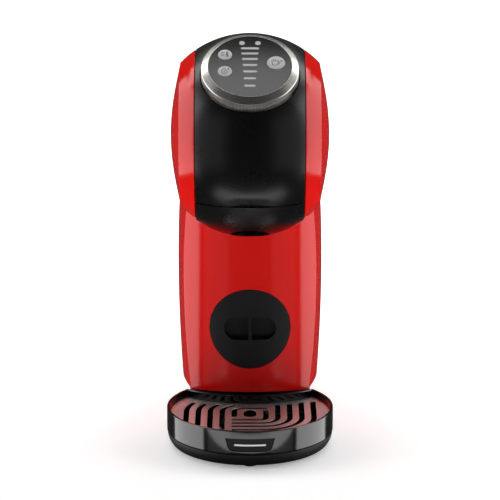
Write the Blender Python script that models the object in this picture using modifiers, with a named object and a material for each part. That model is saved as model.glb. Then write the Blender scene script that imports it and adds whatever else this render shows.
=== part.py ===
"""Pod coffee machine: round head with a lifting visor, sliding pod holder, drip tray and lift-off water tank.

Frame: the origin is on the table, under the middle of the machine's box. +Z is up, -Y is the front where the
cup stands, and +X is to the right of someone who faces the machine. Every size is in metres.
"""

import math

import bmesh
import bpy
from mathutils import Matrix, Vector

MM = 0.001
GAP = 0.3 * MM  # between pieces that touch
SKIN = 2.5 * MM  # wall of the moulded covers

# Head: a drum on an axis along X, crowned across its width, with a shallow dome on each side.
HEAD_Y = -68 * MM
HEAD_Z = 223.4 * MM
HEAD_RADIUS = 71 * MM
CROWN_RADIUS = 68 * MM
RIM_HALF = 49 * MM  # half width at the crease between rim and dome
STRIPE_HALF = 38 * MM  # half width of the black band in the middle
DOME_RISE = 6.8 * MM
LIP_Z = 183.6 * MM  # lower edge of the visor
VISOR_END = 168  # degrees round the drum, from the front over the top, where the visor stops

# Dial and control panel, on an axis that leans forward from the vertical.
DIAL_ELEVATION = math.radians(54)
DIAL_AXIS = Vector((0, -math.cos(DIAL_ELEVATION), math.sin(DIAL_ELEVATION)))
DIAL_UP = Vector((0, math.sin(DIAL_ELEVATION), math.cos(DIAL_ELEVATION)))
DIAL_CENTRE = Vector((0, HEAD_Y, HEAD_Z)) + 70.3 * MM * DIAL_AXIS - 2.75 * MM * DIAL_UP
DIAL_RADIUS = 33.6 * MM
PANEL_RADIUS = 28.4 * MM

# Visor hinge, pod holder and injector.
HINGE_Y = -23 * MM
HINGE_Z = 222 * MM
BARREL_RADIUS = 26.2 * MM  # fixed cover behind the visor, centred on the hinge
POD_Y = -88 * MM
POD_RADIUS = 26.8 * MM
HOLDER_TOP = LIP_Z - 0.8 * MM
HOLDER_BACK_Y = -54 * MM
HOLDER_DEEPER = 1.05  # the holder hangs a little below the drum's circle
RAIL_LOW = 176.6 * MM
RAIL_HIGH = 178.9 * MM

# Column: the same crowned front, narrowing towards the base.
COLUMN_FRONT_Y = -50 * MM
COLUMN_BOTTOM = 28.7 * MM
COLUMN_TOP = 206 * MM
COLUMN_EDGE_DROP = 1.8 * MM  # the cover's lower edge is this much lower at the crease
COLUMN_BACK_Y = 62 * MM
FRONT_RETURN = 4 * MM  # how far the front cover turns round the crease
DISC_Z = 75.6 * MM
DISC_RADIUS = 29.2 * MM
SOCKET_HALF = 18.9 * MM  # stadium-shaped socket for the tray's tongue
SOCKET_RADIUS = 8.5 * MM

# Drip tray.
TRAY_Y = -76 * MM
TRAY_HALF_WIDTH = 59.6 * MM
TRAY_HALF_LENGTH = 64 * MM
TRAY_BACK_GAP = 2.4 * MM
TRAY_RIM_Z = 27 * MM
GRID_TOP_Z = 21.2 * MM
GRID_THICKNESS = 0.8 * MM
SUPPORT_TOP_Z = 9.6 * MM

# Base and water tank.
BASE_HALF_WIDTH = 44 * MM
BASE_TOP = 26.4 * MM
FOOT_HEIGHT = 3 * MM
GLAND_Z = 15.5 * MM
TANK_Y = 92 * MM  # where the tank's rounded back begins, and its valve
TANK_HALF_WIDTH = 46 * MM
TANK_BACK = 47.8 * MM
TANK_FRONT_Y = 64.5 * MM
TANK_TOP_Z = 196 * MM

RED = (0.60, 0.006, 0.004)
GLOSS_BLACK = (0.010, 0.010, 0.010)
MATT_BLACK = (0.022, 0.022, 0.022)
STEEL = (0.62, 0.60, 0.57)
WHITE_PLASTIC = (0.62, 0.62, 0.60)
ALUMINIUM = (0.55, 0.55, 0.56)
RUBBER = (0.015, 0.015, 0.015)
SILICONE = (0.70, 0.66, 0.58)
LIGHT_GREY = (0.70, 0.70, 0.70)
CLEAR_SMOKE = (0.20, 0.20, 0.21)
BOARD_GREEN = (0.02, 0.14, 0.05)


def clear_scene():
    for obj in list(bpy.data.objects):
        bpy.data.objects.remove(obj, do_unlink=True)


clear_scene()
machine = bpy.data.collections.new("pod_coffee_machine")
cutters = bpy.data.collections.new("cutters")
bpy.context.scene.collection.children.link(machine)
bpy.context.scene.collection.children.link(cutters)


# ---------------------------------------------------------------- helpers


def material(name, colour, roughness, metallic=0.0):
    found = bpy.data.materials.get(name)
    if found is None:
        found = bpy.data.materials.new(name)
        found.use_nodes = True
        shader = found.node_tree.nodes["Principled BSDF"]
        shader.inputs["Base Color"].default_value = (*colour, 1)
        shader.inputs["Roughness"].default_value = roughness
        shader.inputs["Metallic"].default_value = metallic
    return found


def red_gloss():
    return material("red_gloss", RED, 0.15)


def black_gloss():
    return material("black_gloss", GLOSS_BLACK, 0.12)


def black_matt():
    return material("black_matt", MATT_BLACK, 0.55)


def steel():
    return material("steel", STEEL, 0.3, 1.0)


def light_grey():
    return material("light_grey", LIGHT_GREY, 0.4)


def white_plastic():
    return material("white_plastic", WHITE_PLASTIC, 0.5)


def rubber():
    return material("rubber", RUBBER, 0.8)


def silicone():
    return material("silicone", SILICONE, 0.6)


def board_green():
    return material("board_green", BOARD_GREEN, 0.5)


def new_mesh_object(name, bm, where=machine):
    mesh = bpy.data.meshes.new(name)
    bm.to_mesh(mesh)
    bm.free()
    obj = bpy.data.objects.new(name, mesh)
    where.objects.link(obj)
    return obj


def finish(obj, finish_material, smooth_angle=35):
    """Gives an object its material and its smooth shading."""
    obj.data.materials.clear()
    obj.data.materials.append(finish_material)
    if obj.type == "MESH":
        obj.data.shade_smooth()
        obj.data.set_sharp_from_angle(angle=math.radians(smooth_angle))
    return obj


def as_cutter(obj):
    for collection in list(obj.users_collection):
        collection.objects.unlink(obj)
    cutters.objects.link(obj)
    obj.hide_render = True
    obj.display_type = "WIRE"
    return obj


def applied(obj, weld=0.00002):
    """The object as evaluated, with its modifiers applied and its faces turned outwards."""
    graph = bpy.context.evaluated_depsgraph_get()
    mesh = bpy.data.meshes.new_from_object(obj.evaluated_get(graph))
    mesh.transform(obj.matrix_world)
    name = obj.name
    where = obj.users_collection[0]
    bpy.data.objects.remove(obj, do_unlink=True)
    bm = bmesh.new()
    bm.from_mesh(mesh)
    bmesh.ops.remove_doubles(bm, verts=bm.verts, dist=weld)
    bmesh.ops.recalc_face_normals(bm, faces=bm.faces)
    bpy.data.meshes.remove(mesh)
    return new_mesh_object(name, bm, where)


def boolean(obj, other, operation="DIFFERENCE"):
    modifier = obj.modifiers.new("boolean", "BOOLEAN")
    modifier.operation = operation
    modifier.object = other
    modifier.solver = "EXACT"
    return obj


def cut(obj, *tools):
    """Cuts each tool out of the object and applies the cuts."""
    for tool in tools:
        boolean(obj, as_cutter(tool))
    bpy.context.view_layer.update()
    return applied(obj)


def joined(obj, *others):
    """Joins solids that overlap into one body."""
    for other in others:
        boolean(obj, as_cutter(other), "UNION")
    bpy.context.view_layer.update()
    return applied(obj)


def kept_inside(obj, other):
    boolean(obj, as_cutter(other), "INTERSECT")
    bpy.context.view_layer.update()
    return applied(obj)


def box(name, low, high, bevel=0.0):
    bm = bmesh.new()
    bmesh.ops.create_cube(bm, size=1)
    size = Vector(high) - Vector(low)
    middle = (Vector(high) + Vector(low)) / 2
    bmesh.ops.scale(bm, vec=size, verts=bm.verts)
    bmesh.ops.translate(bm, vec=middle, verts=bm.verts)
    if bevel:
        bmesh.ops.bevel(
            bm, geom=bm.edges[:], offset=bevel, segments=2, profile=0.5, affect="EDGES", material=-1
        )
    return new_mesh_object(name, bm)


def cylinder(name, radius, start, end, segments=24, end_radius=None):
    """A round bar from start to end, or a cone where the end radius differs."""
    start, end = Vector(start), Vector(end)
    along = end - start
    bm = bmesh.new()
    bmesh.ops.create_cone(
        bm, cap_ends=True, segments=segments, radius1=radius,
        radius2=radius if end_radius is None else end_radius, depth=along.length,
    )
    turn = along.to_track_quat("Z", "Y").to_matrix().to_4x4()
    bmesh.ops.transform(bm, matrix=Matrix.Translation((start + end) / 2) @ turn, verts=bm.verts)
    return new_mesh_object(name, bm)


def turned(name, profile, origin, axis, steps=32, closed=False):
    """A solid of revolution. The profile's points are (radius, height) about an axis through the origin."""
    mesh = bpy.data.meshes.new(name)
    edges = [(i, i + 1) for i in range(len(profile) - 1)]
    if closed:
        edges.append((len(profile) - 1, 0))
    mesh.from_pydata([(r, 0, h) for r, h in profile], edges, [])
    obj = bpy.data.objects.new(name, mesh)
    machine.objects.link(obj)
    obj.rotation_mode = "QUATERNION"
    obj.rotation_quaternion = Vector(axis).to_track_quat("Z", "Y")
    obj.location = origin
    screw = obj.modifiers.new("screw", "SCREW")
    screw.steps = screw.render_steps = steps
    screw.use_merge_vertices = True
    screw.merge_threshold = 0.00001
    bpy.context.view_layer.update()
    return applied(obj)


def tube(name, points, radius, resolution=2):
    """A solid round hose or wire through the points."""
    curve = bpy.data.curves.new(name, "CURVE")
    curve.dimensions = "3D"
    spline = curve.splines.new("POLY")
    spline.points.add(len(points) - 1)
    for place, point in zip(spline.points, points):
        place.co = (*point, 1)
    curve.bevel_depth = radius
    curve.bevel_resolution = resolution
    curve.use_fill_caps = True
    obj = bpy.data.objects.new(name, curve)
    machine.objects.link(obj)
    return obj


def smooth_route(corners, count=18):
    """Points along a smooth curve through the corners (Catmull-Rom)."""
    ends = [corners[0], *corners, corners[-1]]
    ends = [Vector(p) for p in ends]
    spans = len(corners) - 1
    route = []
    for i in range(count + 1):
        at = min(i / count * spans, spans - 1e-6)
        k, t = int(at), at - int(at)
        a, b, c, d = ends[k : k + 4]
        route.append(
            0.5 * (2 * b + (c - a) * t + (2 * a - 5 * b + 4 * c - d) * t**2
                   + (3 * b - a - 3 * c + d) * t**3)
        )
    return route


def solidified(obj, thickness, offset=-1.0, even=True):
    modifier = obj.modifiers.new("skin", "SOLIDIFY")
    modifier.thickness = thickness
    modifier.offset = offset
    modifier.use_even_offset = even
    bpy.context.view_layer.update()
    return applied(obj)


def plate(name, outline, low, high):
    """A flat outline of (x, y) points, raised from one height to another."""
    bm = bmesh.new()
    face = bm.faces.new([bm.verts.new((x, y, low)) for x, y in outline])
    raised = bmesh.ops.extrude_face_region(bm, geom=[face])
    top = [v for v in raised["geom"] if isinstance(v, bmesh.types.BMVert)]
    bmesh.ops.translate(bm, vec=(0, 0, high - low), verts=top)
    bmesh.ops.recalc_face_normals(bm, faces=bm.faces)
    return new_mesh_object(name, bm)


def loft(name, sections):
    """A solid through rings of points, with a flat face at each end."""
    bm = bmesh.new()
    rings = [[bm.verts.new(point) for point in section] for section in sections]
    for low, high in zip(rings, rings[1:]):
        for i in range(len(low)):
            bm.faces.new((low[i - 1], low[i], high[i], high[i - 1]))
    bm.faces.new(rings[0])
    bm.faces.new(rings[-1])
    bmesh.ops.recalc_face_normals(bm, faces=bm.faces)
    return new_mesh_object(name, bm)


def arc(centre, radius, start, end, count):
    """Points on an arc; a two-number radius makes an ellipse. Angles are in degrees."""
    rx, ry = radius if isinstance(radius, tuple) else (radius, radius)
    angles = [math.radians(start + (end - start) * i / count) for i in range(count + 1)]
    return [(centre[0] + rx * math.cos(a), centre[1] + ry * math.sin(a)) for a in angles]


def in_mm(profile):
    return [(a * MM, b * MM) for a, b in profile]


def stand_up(obj):
    """Turns an outline drawn as (y, z) and raised along x so that it stands up."""
    obj.data.transform(Matrix(((0, 0, 1, 0), (1, 0, 0, 0), (0, 1, 0, 0), (0, 0, 0, 1))))
    return obj


def rounded_outline(centre, half_x, half_y, radius):
    """A rectangle with rounded corners."""
    points = []
    for sx, sy, start in ((1, -1, -90), (1, 1, 0), (-1, 1, 90), (-1, -1, 180)):
        corner = (centre[0] + sx * (half_x - radius), centre[1] + sy * (half_y - radius))
        points += arc(corner, radius, start, start + 90, 3)
    return points


def stadium_prism(name, half_length, radius, centre_z, front_y, back_y):
    """A bar with a stadium-shaped section in the XZ plane, running along Y."""
    ends = arc((half_length - radius, 0), radius, -90, 90, 8)
    ends += arc((radius - half_length, 0), radius, 90, 270, 8)
    obj = plate(name, ends, 0, back_y - front_y)
    turn = Matrix.Rotation(math.radians(90), 4, "X")
    obj.data.transform(Matrix.Translation((0, back_y, centre_z)) @ turn)
    return obj


# ---------------------------------------------------------------- head


def crown_drop(x):
    """How far the crowned surface falls away at a distance from the middle."""
    return CROWN_RADIUS - math.sqrt(CROWN_RADIUS**2 - x**2)


def drum_radius(x):
    return HEAD_RADIUS - crown_drop(x)


def dome_profile(shrink, count):
    """(radius, half width) points of a side dome, from the crease to the middle."""
    edge = drum_radius(RIM_HALF) - shrink
    points = []
    for i in range(count + 1):
        r = edge * math.cos(math.radians(90) * i / count)
        rise = DOME_RISE * (1 - (r / edge) ** 2) ** 1.2
        points.append((max(r, 0.0), RIM_HALF - shrink + rise))
    points[-1] = (0.0, points[-1][1])
    return points


def drum(name, half_width, extra=0.0, steps=48, pieces=8):
    """The crowned drum between two flat ends, as a solid."""
    xs = [half_width * (2 * i / pieces - 1) for i in range(pieces + 1)]
    profile = [(0, -half_width), *[(drum_radius(x) + extra, x) for x in xs], (0, half_width)]
    return turned(name, profile, (0, HEAD_Y, HEAD_Z), (1, 0, 0), steps)


def head_side(side):
    """Red side cover of the head: a rim that carries on the crown, and a dome."""
    inner_x = STRIPE_HALF + 0.4 * MM
    name = "head_side_left" if side < 0 else "head_side_right"
    rim_xs = [inner_x + (RIM_HALF - inner_x) * i / 2 for i in range(3)]
    outer = [(drum_radius(x), x) for x in rim_xs] + dome_profile(0, 4)[1:]
    inside = [(drum_radius(x) - SKIN, x) for x in (inner_x, RIM_HALF - SKIN)]
    inside += dome_profile(SKIN, 2)[1:]
    profile = list(reversed(inside)) + outer
    obj = turned(name, profile, (0, HEAD_Y, HEAD_Z), (side, 0, 0), 40)
    return finish(obj, red_gloss(), 25)


def visor_shell():
    """Gloss shell over the middle of the drum, from the lip over the top to the back, open for the dial."""
    half, pieces, start = STRIPE_HALF - 0.3 * MM, 6, math.radians(-44)
    bm = bmesh.new()
    xs = [half * (2 * i / pieces - 1) for i in range(pieces + 1)]
    row = [
        bm.verts.new((x, HEAD_Y - drum_radius(x) * math.cos(start), HEAD_Z + drum_radius(x) * math.sin(start)))
        for x in xs
    ]
    edges = [bm.edges.new(pair) for pair in zip(row, row[1:])]
    bmesh.ops.spin(
        bm, geom=row + edges, cent=(0, HEAD_Y, HEAD_Z), axis=(-1, 0, 0),
        angle=math.radians(VISOR_END) - start, steps=32,
    )
    bmesh.ops.bisect_plane(
        bm, geom=bm.verts[:] + bm.edges[:] + bm.faces[:], plane_co=(0, 0, LIP_Z),
        plane_no=(0, 0, -1), clear_outer=True,
    )
    bmesh.ops.recalc_face_normals(bm, faces=bm.faces)
    obj = skin_inwards(new_mesh_object("visor_shell", bm), SKIN, (0, HEAD_Y, HEAD_Z))
    opening = cylinder(
        "dial_opening", DIAL_RADIUS + 0.9 * MM, on_panel(0, 0, -40 * MM), on_panel(0, 0, 30 * MM), 40
    )
    return finish(cut(obj, opening), black_gloss(), 25)


def dial_seat():
    """Black cup under the dial: a flange that the visor holds, and a sleeve that holds the panel."""
    sleeve_in, sleeve_out, flange_out = 26.0 * MM, 27.4 * MM, DIAL_RADIUS + 0.6 * MM
    profile = [
        (sleeve_in, -2.7 * MM), (sleeve_out, -2.7 * MM), (sleeve_out, -10.8 * MM),
        (flange_out, -10.8 * MM), (flange_out, -15 * MM), (sleeve_in, -15 * MM),
    ]
    obj = turned("dial_seat", profile, DIAL_CENTRE, DIAL_AXIS, 36, closed=True)
    return finish(obj, black_matt())


def selector_ring():
    """Knurled metal ring: a conical upper face and an upright side."""
    inner = PANEL_RADIUS + GAP
    profile = [
        (inner, 0.3 * MM), (DIAL_RADIUS - 0.3 * MM, -2.5 * MM), (DIAL_RADIUS, -2.9 * MM),
        (DIAL_RADIUS, -10.4 * MM), (inner - 0.9 * MM, -10.4 * MM), (inner - 0.9 * MM, -2.7 * MM),
        (inner, -2.7 * MM),
    ]
    obj = turned("selector_ring", profile, DIAL_CENTRE, DIAL_AXIS, 48, closed=True)
    return finish(obj, steel())


def on_panel(x, up, height=0.0):
    """A point over the panel: x to the right, up towards the top of the panel, height above its face."""
    return DIAL_CENTRE + Vector((x, 0, 0)) + up * DIAL_UP + height * DIAL_AXIS


KEYS = {  # key name: (x, up, radius)
    "temperature_key": (-17.1 * MM, 11.0 * MM, 4.9 * MM),
    "boost_key": (-17.1 * MM, -4.8 * MM, 4.9 * MM),
    "start_key": (17.8 * MM, 3.3 * MM, 6.2 * MM),
}
LAMP_X = 5.5 * MM
LAMP_UP = 22.4 * MM
LAMP_RADIUS = 2.4 * MM
BAR_COUNT = 7
BAR_HALF_HEIGHT = 1.1 * MM


def bar_sizes():
    """(up, half length) of each level bar from the top down: they get shorter and stand further apart."""
    for i in range(BAR_COUNT):
        yield (17.3 - 4.75 * i - 0.2 * i * i) * MM, (6.3 - 0.41 * i) * MM


def panel_box(name, x, up, half_x, half_up, low, high):
    """A box that stands on the panel's axes."""
    bm = bmesh.new()
    bmesh.ops.create_cube(bm, size=1)
    bmesh.ops.scale(bm, vec=(2 * half_x, 2 * half_up, high - low), verts=bm.verts)
    axes = Matrix((Vector((1, 0, 0)), DIAL_UP, DIAL_AXIS)).transposed().to_4x4()
    middle = on_panel(x, up, (low + high) / 2)
    bmesh.ops.transform(bm, matrix=Matrix.Translation(middle) @ axes, verts=bm.verts)
    return new_mesh_object(name, bm)


def panel_cylinder(name, x, up, radius, low, high, segments):
    return cylinder(name, radius, on_panel(x, up, low), on_panel(x, up, high), segments)


def control_panel():
    """Smoked disc with holes for the keys, the level bars and the two small lamps."""
    obj = panel_cylinder("control_panel", 0, 0, PANEL_RADIUS, -2.4 * MM, 0, 48)
    low, high = -6 * MM, 5 * MM
    tools = [
        panel_cylinder(key + "_cut", x, up, radius + GAP, low, high, 20)
        for key, (x, up, radius) in KEYS.items()
    ]
    tools += [
        panel_box(f"bar_cut_{i}", 0, up, half + GAP, BAR_HALF_HEIGHT + GAP, low, high)
        for i, (up, half) in enumerate(bar_sizes())
    ]
    tools += [
        panel_cylinder(f"lamp_cut_{side}", side * LAMP_X, LAMP_UP, LAMP_RADIUS + GAP, low, high, 12)
        for side in (-1, 1)
    ]
    return finish(cut(obj, *tools), black_gloss())


def light_guide():
    """One clear moulding under the panel whose bars and lamps stand up through it."""
    low, base, top = -5.2 * MM, -3.7 * MM, -0.1 * MM
    obj = panel_box("light_guide", 0, 0.6 * MM, 6.8 * MM, 21.2 * MM, low, base)
    parts = [panel_box("guide_head", 0, 22.3 * MM, 7.7 * MM, 2.0 * MM, low + 0.1 * MM, base + 0.1 * MM)]
    parts += [
        panel_box(f"bar_{i}", 0, up, half, BAR_HALF_HEIGHT, low + 0.2 * MM, top)
        for i, (up, half) in enumerate(bar_sizes())
    ]
    parts += [
        panel_cylinder(f"lamp_{side}", side * LAMP_X, LAMP_UP, LAMP_RADIUS, low + 0.4 * MM, top, 12)
        for side in (-1, 1)
    ]
    return finish(joined(obj, *parts), light_grey())


def panel_key(name):
    """A push key: a cap that stands just over the panel, with a wider foot under it."""
    x, up, radius = KEYS[name]
    profile = [
        (0, 0.35 * MM), (radius - 0.4 * MM, 0.35 * MM), (radius, 0), (radius, -3.6 * MM),
        (radius + 0.3 * MM, -3.6 * MM), (radius + 0.3 * MM, -4.8 * MM), (0, -4.8 * MM),
    ]
    obj = turned(name, profile, on_panel(x, up), DIAL_AXIS, 20)
    return finish(obj, light_grey())


def display_board():
    """Round circuit board under the keys, with its chip and plug on the back."""
    obj = panel_cylinder("display_board", 0, 0, 25 * MM, -8.2 * MM, -6.6 * MM, 24)
    chip = panel_box("display_chip", 4 * MM, -9 * MM, 5 * MM, 5 * MM, -9.8 * MM, -8.0 * MM)
    plug = panel_box("display_plug", -9 * MM, -12 * MM, 4 * MM, 2.5 * MM, -12 * MM, -8.0 * MM)
    return finish(joined(obj, chip, plug), board_green())


ARM_X = 33.4 * MM  # inner face of each visor arm
ARM_THICK = 3 * MM


def visor_frame():
    """Frame inside the visor: an arm on each side from the hinge to the shell, and a bar across."""
    parts = []
    for side in (-1, 1):
        low_x, high_x = sorted((side * ARM_X, side * (ARM_X + ARM_THICK)))
        outline = [(HINGE_Y - 6 * MM, HINGE_Z + 1 * MM), (HINGE_Y + 6 * MM, HINGE_Z + 1 * MM)]
        outline += arc((HEAD_Y, HEAD_Z), 56.5 * MM, 36, 82, 5)
        outline += [(HEAD_Y + 10 * MM, HEAD_Z + 46 * MM)]
        arm = plate(f"arm_{side}", outline, low_x, high_x)
        stand_up(arm)
        eye = cylinder(f"eye_{side}", 12 * MM, (low_x, HINGE_Y, HINGE_Z), (high_x, HINGE_Y, HINGE_Z), 20)
        parts += [arm, eye]
    bar_y, bar_z = HEAD_Y + 22 * MM, HEAD_Z + 47 * MM
    bar = cylinder("arm_bar", 3 * MM, (-ARM_X - 1 * MM, bar_y, bar_z), (ARM_X + 1 * MM, bar_y, bar_z), 12)
    obj = joined(bar, *parts)
    obj.name = "visor_frame"
    pin_hole = cylinder("pin_hole", 2.3 * MM, (-60 * MM, HINGE_Y, HINGE_Z), (60 * MM, HINGE_Y, HINGE_Z), 20)
    return finish(cut(obj, pin_hole), black_matt())


def hinge_pin():
    half = 41.4 * MM
    obj = cylinder("hinge_pin", 2 * MM, (-half, HINGE_Y, HINGE_Z), (half, HINGE_Y, HINGE_Z), 16)
    return finish(obj, steel())


def head_back():
    """Crowned cover under the visor's tail, turned about the hinge so that the visor clears it."""
    half, count = ARM_X - 0.6 * MM, 6
    xs = [half * (2 * i / count - 1) for i in range(count + 1)]
    outer = [(BARREL_RADIUS - crown_drop(x), x) for x in xs]
    inner = [(r - SKIN, x) for r, x in reversed(outer)]
    obj = turned("head_back", outer + inner, (0, HINGE_Y, HINGE_Z), (1, 0, 0), 40, closed=True)
    back_half = box("back_half", (-40 * MM, HINGE_Y + 11 * MM, 200.4 * MM), (40 * MM, 20 * MM, 240 * MM))
    return finish(kept_inside(obj, back_half), black_matt())


def head_frame():
    """Fixed frame: cheeks that carry the hinge pin and the rails, a wall, a bridge and a shelf."""
    cheek_in, cheek_out = 39 * MM, 42 * MM
    parts = []
    for side in (-1, 1):
        low_x, high_x = sorted((side * cheek_in, side * cheek_out))
        parts.append(
            cylinder(f"cheek_{side}", 49.5 * MM, (low_x, HEAD_Y, HEAD_Z), (high_x, HEAD_Y, HEAD_Z), 32)
        )
        low_x, high_x = sorted((side * 35.3 * MM, side * 40 * MM))
        parts.append(
            box(f"rail_{side}", (low_x, HEAD_Y - 27 * MM, RAIL_LOW), (high_x, HOLDER_BACK_Y - 0.6 * MM, RAIL_HIGH))
        )
    wall = box("wall", (-37.8 * MM, -53.2 * MM, 150 * MM), (37.8 * MM, -50.4 * MM, 206 * MM))
    wall = kept_inside(wall, drum("wall_room", 37.9 * MM, -0.4 * MM, 48))
    ears = box("ears", (-39.5 * MM, -53.2 * MM, 184 * MM), (39.5 * MM, -50.4 * MM, 205.9 * MM))
    bridge = box("bridge", (-39.5 * MM, POD_Y - 11 * MM, 202 * MM), (39.5 * MM, -50.6 * MM, 206 * MM))
    shelf = box("shelf_front", (-39.5 * MM, -53 * MM, 196 * MM), (39.5 * MM, -28 * MM, 199 * MM))
    shelf_back = box("shelf_back", (-36 * MM, -29 * MM, 196.1 * MM), (36 * MM, 21.6 * MM, 198.9 * MM))
    obj = joined(parts[0], *parts[1:], wall, ears, bridge, shelf, shelf_back)
    obj.name = "head_frame"
    pin_hole = cylinder("pin_seat", 2.3 * MM, (-60 * MM, HINGE_Y, HINGE_Z), (60 * MM, HINGE_Y, HINGE_Z), 20)
    boss_hole = cylinder("boss_hole", 8.4 * MM, (0, POD_Y, 195 * MM), (0, POD_Y, 215 * MM), 24)
    hose_hole = cylinder("hose_hole", 5 * MM, (12 * MM, -16.5 * MM, 190 * MM), (12 * MM, -16.5 * MM, 204 * MM), 12)
    return finish(cut(obj, pin_hole, boss_hole, hose_hole), black_matt())


def injector_plate():
    """Round plate that presses on the pod, with the hollow boss that guides it in the bridge."""
    profile = [
        (0, 186), (26, 186), (26, 190), (10, 190.8), (8, 192.5), (8, 212), (3.4, 212), (3.4, 196), (0, 196),
    ]
    obj = turned("injector_plate", in_mm(profile), (0, POD_Y, 0), (0, 0, 1), 28)
    needle_hole = cylinder("needle_hole", 1.5 * MM, (0, POD_Y, 180 * MM), (0, POD_Y, 200 * MM), 12)
    return finish(cut(obj, needle_hole), black_matt())


def injector_needle():
    profile = [(0, 183.6), (0.9, 185.4), (1.2, 186), (1.2, 195.5), (0, 195.5)]
    return finish(turned("injector_needle", in_mm(profile), (0, POD_Y, 0), (0, 0, 1), 10), steel())


def injector_seal():
    """Soft ring under the plate that seals on the pod."""
    profile = [(19, 184), (22.5, 184), (22.5, 185.7), (19, 185.7)]
    obj = turned("injector_seal", in_mm(profile), (0, POD_Y, 0), (0, 0, 1), 28, closed=True)
    return finish(obj, silicone())


def pod_holder():
    """Drawer whose front carries on the drum's surface below the visor, with a stepped seat for the pod."""
    half = STRIPE_HALF - 0.3 * MM
    obj = drum("pod_holder", half, 0, 52, 8)
    for vertex in obj.data.vertices:
        if vertex.co.z < HOLDER_TOP:
            vertex.co.z = HOLDER_TOP + (vertex.co.z - HOLDER_TOP) * HOLDER_DEEPER
    room = box(
        "holder_room", (-half - 5 * MM, -200 * MM, 120 * MM), (half + 5 * MM, HOLDER_BACK_Y, HOLDER_TOP)
    )
    obj = kept_inside(obj, room)
    seat = cylinder("pod_seat", POD_RADIUS, (0, POD_Y, HOLDER_TOP - 12.3 * MM), (0, POD_Y, 200 * MM), 32)
    funnel = cylinder(
        "pod_funnel", 9 * MM, (0, POD_Y, 148 * MM), (0, POD_Y, HOLDER_TOP - 12 * MM), 32, 22.5 * MM
    )
    grooves = []
    for side in (-1, 1):
        low_x, high_x = sorted((side * 34.9 * MM, side * 45 * MM))
        grooves.append(
            box(f"groove_{side}", (low_x, HEAD_Y - 31 * MM, RAIL_LOW - 0.5 * MM),
                (high_x, -40 * MM, RAIL_HIGH + 0.5 * MM))
        )
    return finish(cut(obj, seat, funnel, *grooves), black_gloss(), 25)


def pod_seat_ring():
    """Grey ring that lines the pod holder's seat and carries the pod's rim."""
    outer, inner = POD_RADIUS - GAP, POD_RADIUS - 2.2 * MM
    low, high = HOLDER_TOP - 12 * MM, HOLDER_TOP - 0.2 * MM
    profile = [(inner, low), (outer, low), (outer, high), (inner + 0.8 * MM, high), (inner, high - 2 * MM)]
    obj = turned("pod_seat_ring", profile, (0, POD_Y, 0), (0, 0, 1), 32, closed=True)
    return finish(obj, light_grey())


# ---------------------------------------------------------------- column


def crease_half(z):
    """Half width of the column's front, at the crease where its sides begin."""
    return 48.4 * MM - 0.8 * (min(z, 186 * MM) - 108 * MM) ** 2


def side_half(z):
    """Half width of the column at its widest, behind the crease."""
    return 53.4 * MM - 0.45 * (z - 110 * MM) ** 2


def front_y(z):
    """Where the middle of the column's front stands: slightly hollow between base and head."""
    share = min(max((z - COLUMN_BOTTOM) / (130 * MM), 0), 1)
    return COLUMN_FRONT_Y + 3 * MM * math.sin(math.pi * share)


def front_surface_y(x, z):
    return front_y(z) + crown_drop(x)


def side_point(side, y, z):
    """Point on the column's side at a distance y along it: bellied behind the crease, narrower at the back."""
    start, widest, back = crease_half(z), side_half(z), 46 * MM
    front = front_surface_y(start, z)
    share = (y - front) / (COLUMN_BACK_Y - front)
    if share < 0.5:
        x = start + (widest - start) * math.sin(math.pi * share)
    else:
        x = widest + (back - widest) * (2 * share - 1) ** 2
    return Vector((side * x, y, z))


def head_room(name):
    """What the head takes out of the column: the drum, and a plain cylinder beyond its creases."""
    body = drum(name, RIM_HALF + 1 * MM, 0.9 * MM, 48, 8)
    ends = cylinder(
        name + "_ends", drum_radius(RIM_HALF) + 1.2 * MM, (-70 * MM, HEAD_Y, HEAD_Z),
        (70 * MM, HEAD_Y, HEAD_Z), 48,
    )
    return joined(body, ends)


def skin_inwards(obj, thickness, inside):
    """Thickens an open surface towards a point inside the machine."""
    towards = sum((Vector(inside) - p.center).dot(p.normal) for p in obj.data.polygons)
    return solidified(obj, thickness, 1.0 if towards > 0 else -1.0)


def column_front():
    """Red front cover: the crowned front, turned a little way round each crease."""
    columns, rows = 14, 12
    bm = bmesh.new()
    bmesh.ops.create_grid(bm, x_segments=columns + 2, y_segments=rows, size=1)
    for v in bm.verts:
        at = round((v.co.x + 1) / 2 * (columns + 2)) - 1
        share = 2 * min(max(at, 0), columns) / columns - 1
        level = (v.co.y + 1) / 2
        low = COLUMN_BOTTOM - COLUMN_EDGE_DROP * share**2
        z = low + (192 * MM - low) * level
        x = share * crease_half(z)
        v.co = (x, front_surface_y(x, z), z)
        if at < 0 or at > columns:
            v.co = side_point(1 if at > 0 else -1, front_surface_y(x, z) + FRONT_RETURN, z)
    bmesh.ops.recalc_face_normals(bm, faces=bm.faces)
    obj = skin_inwards(new_mesh_object("column_front", bm), SKIN, (0, 30 * MM, 110 * MM))
    hole = cylinder("disc_hole", DISC_RADIUS + GAP, (0, -80 * MM, DISC_Z), (0, 0, DISC_Z), 40)
    return finish(cut(obj, head_room("front_head_room"), hole), red_gloss(), 25)


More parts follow.
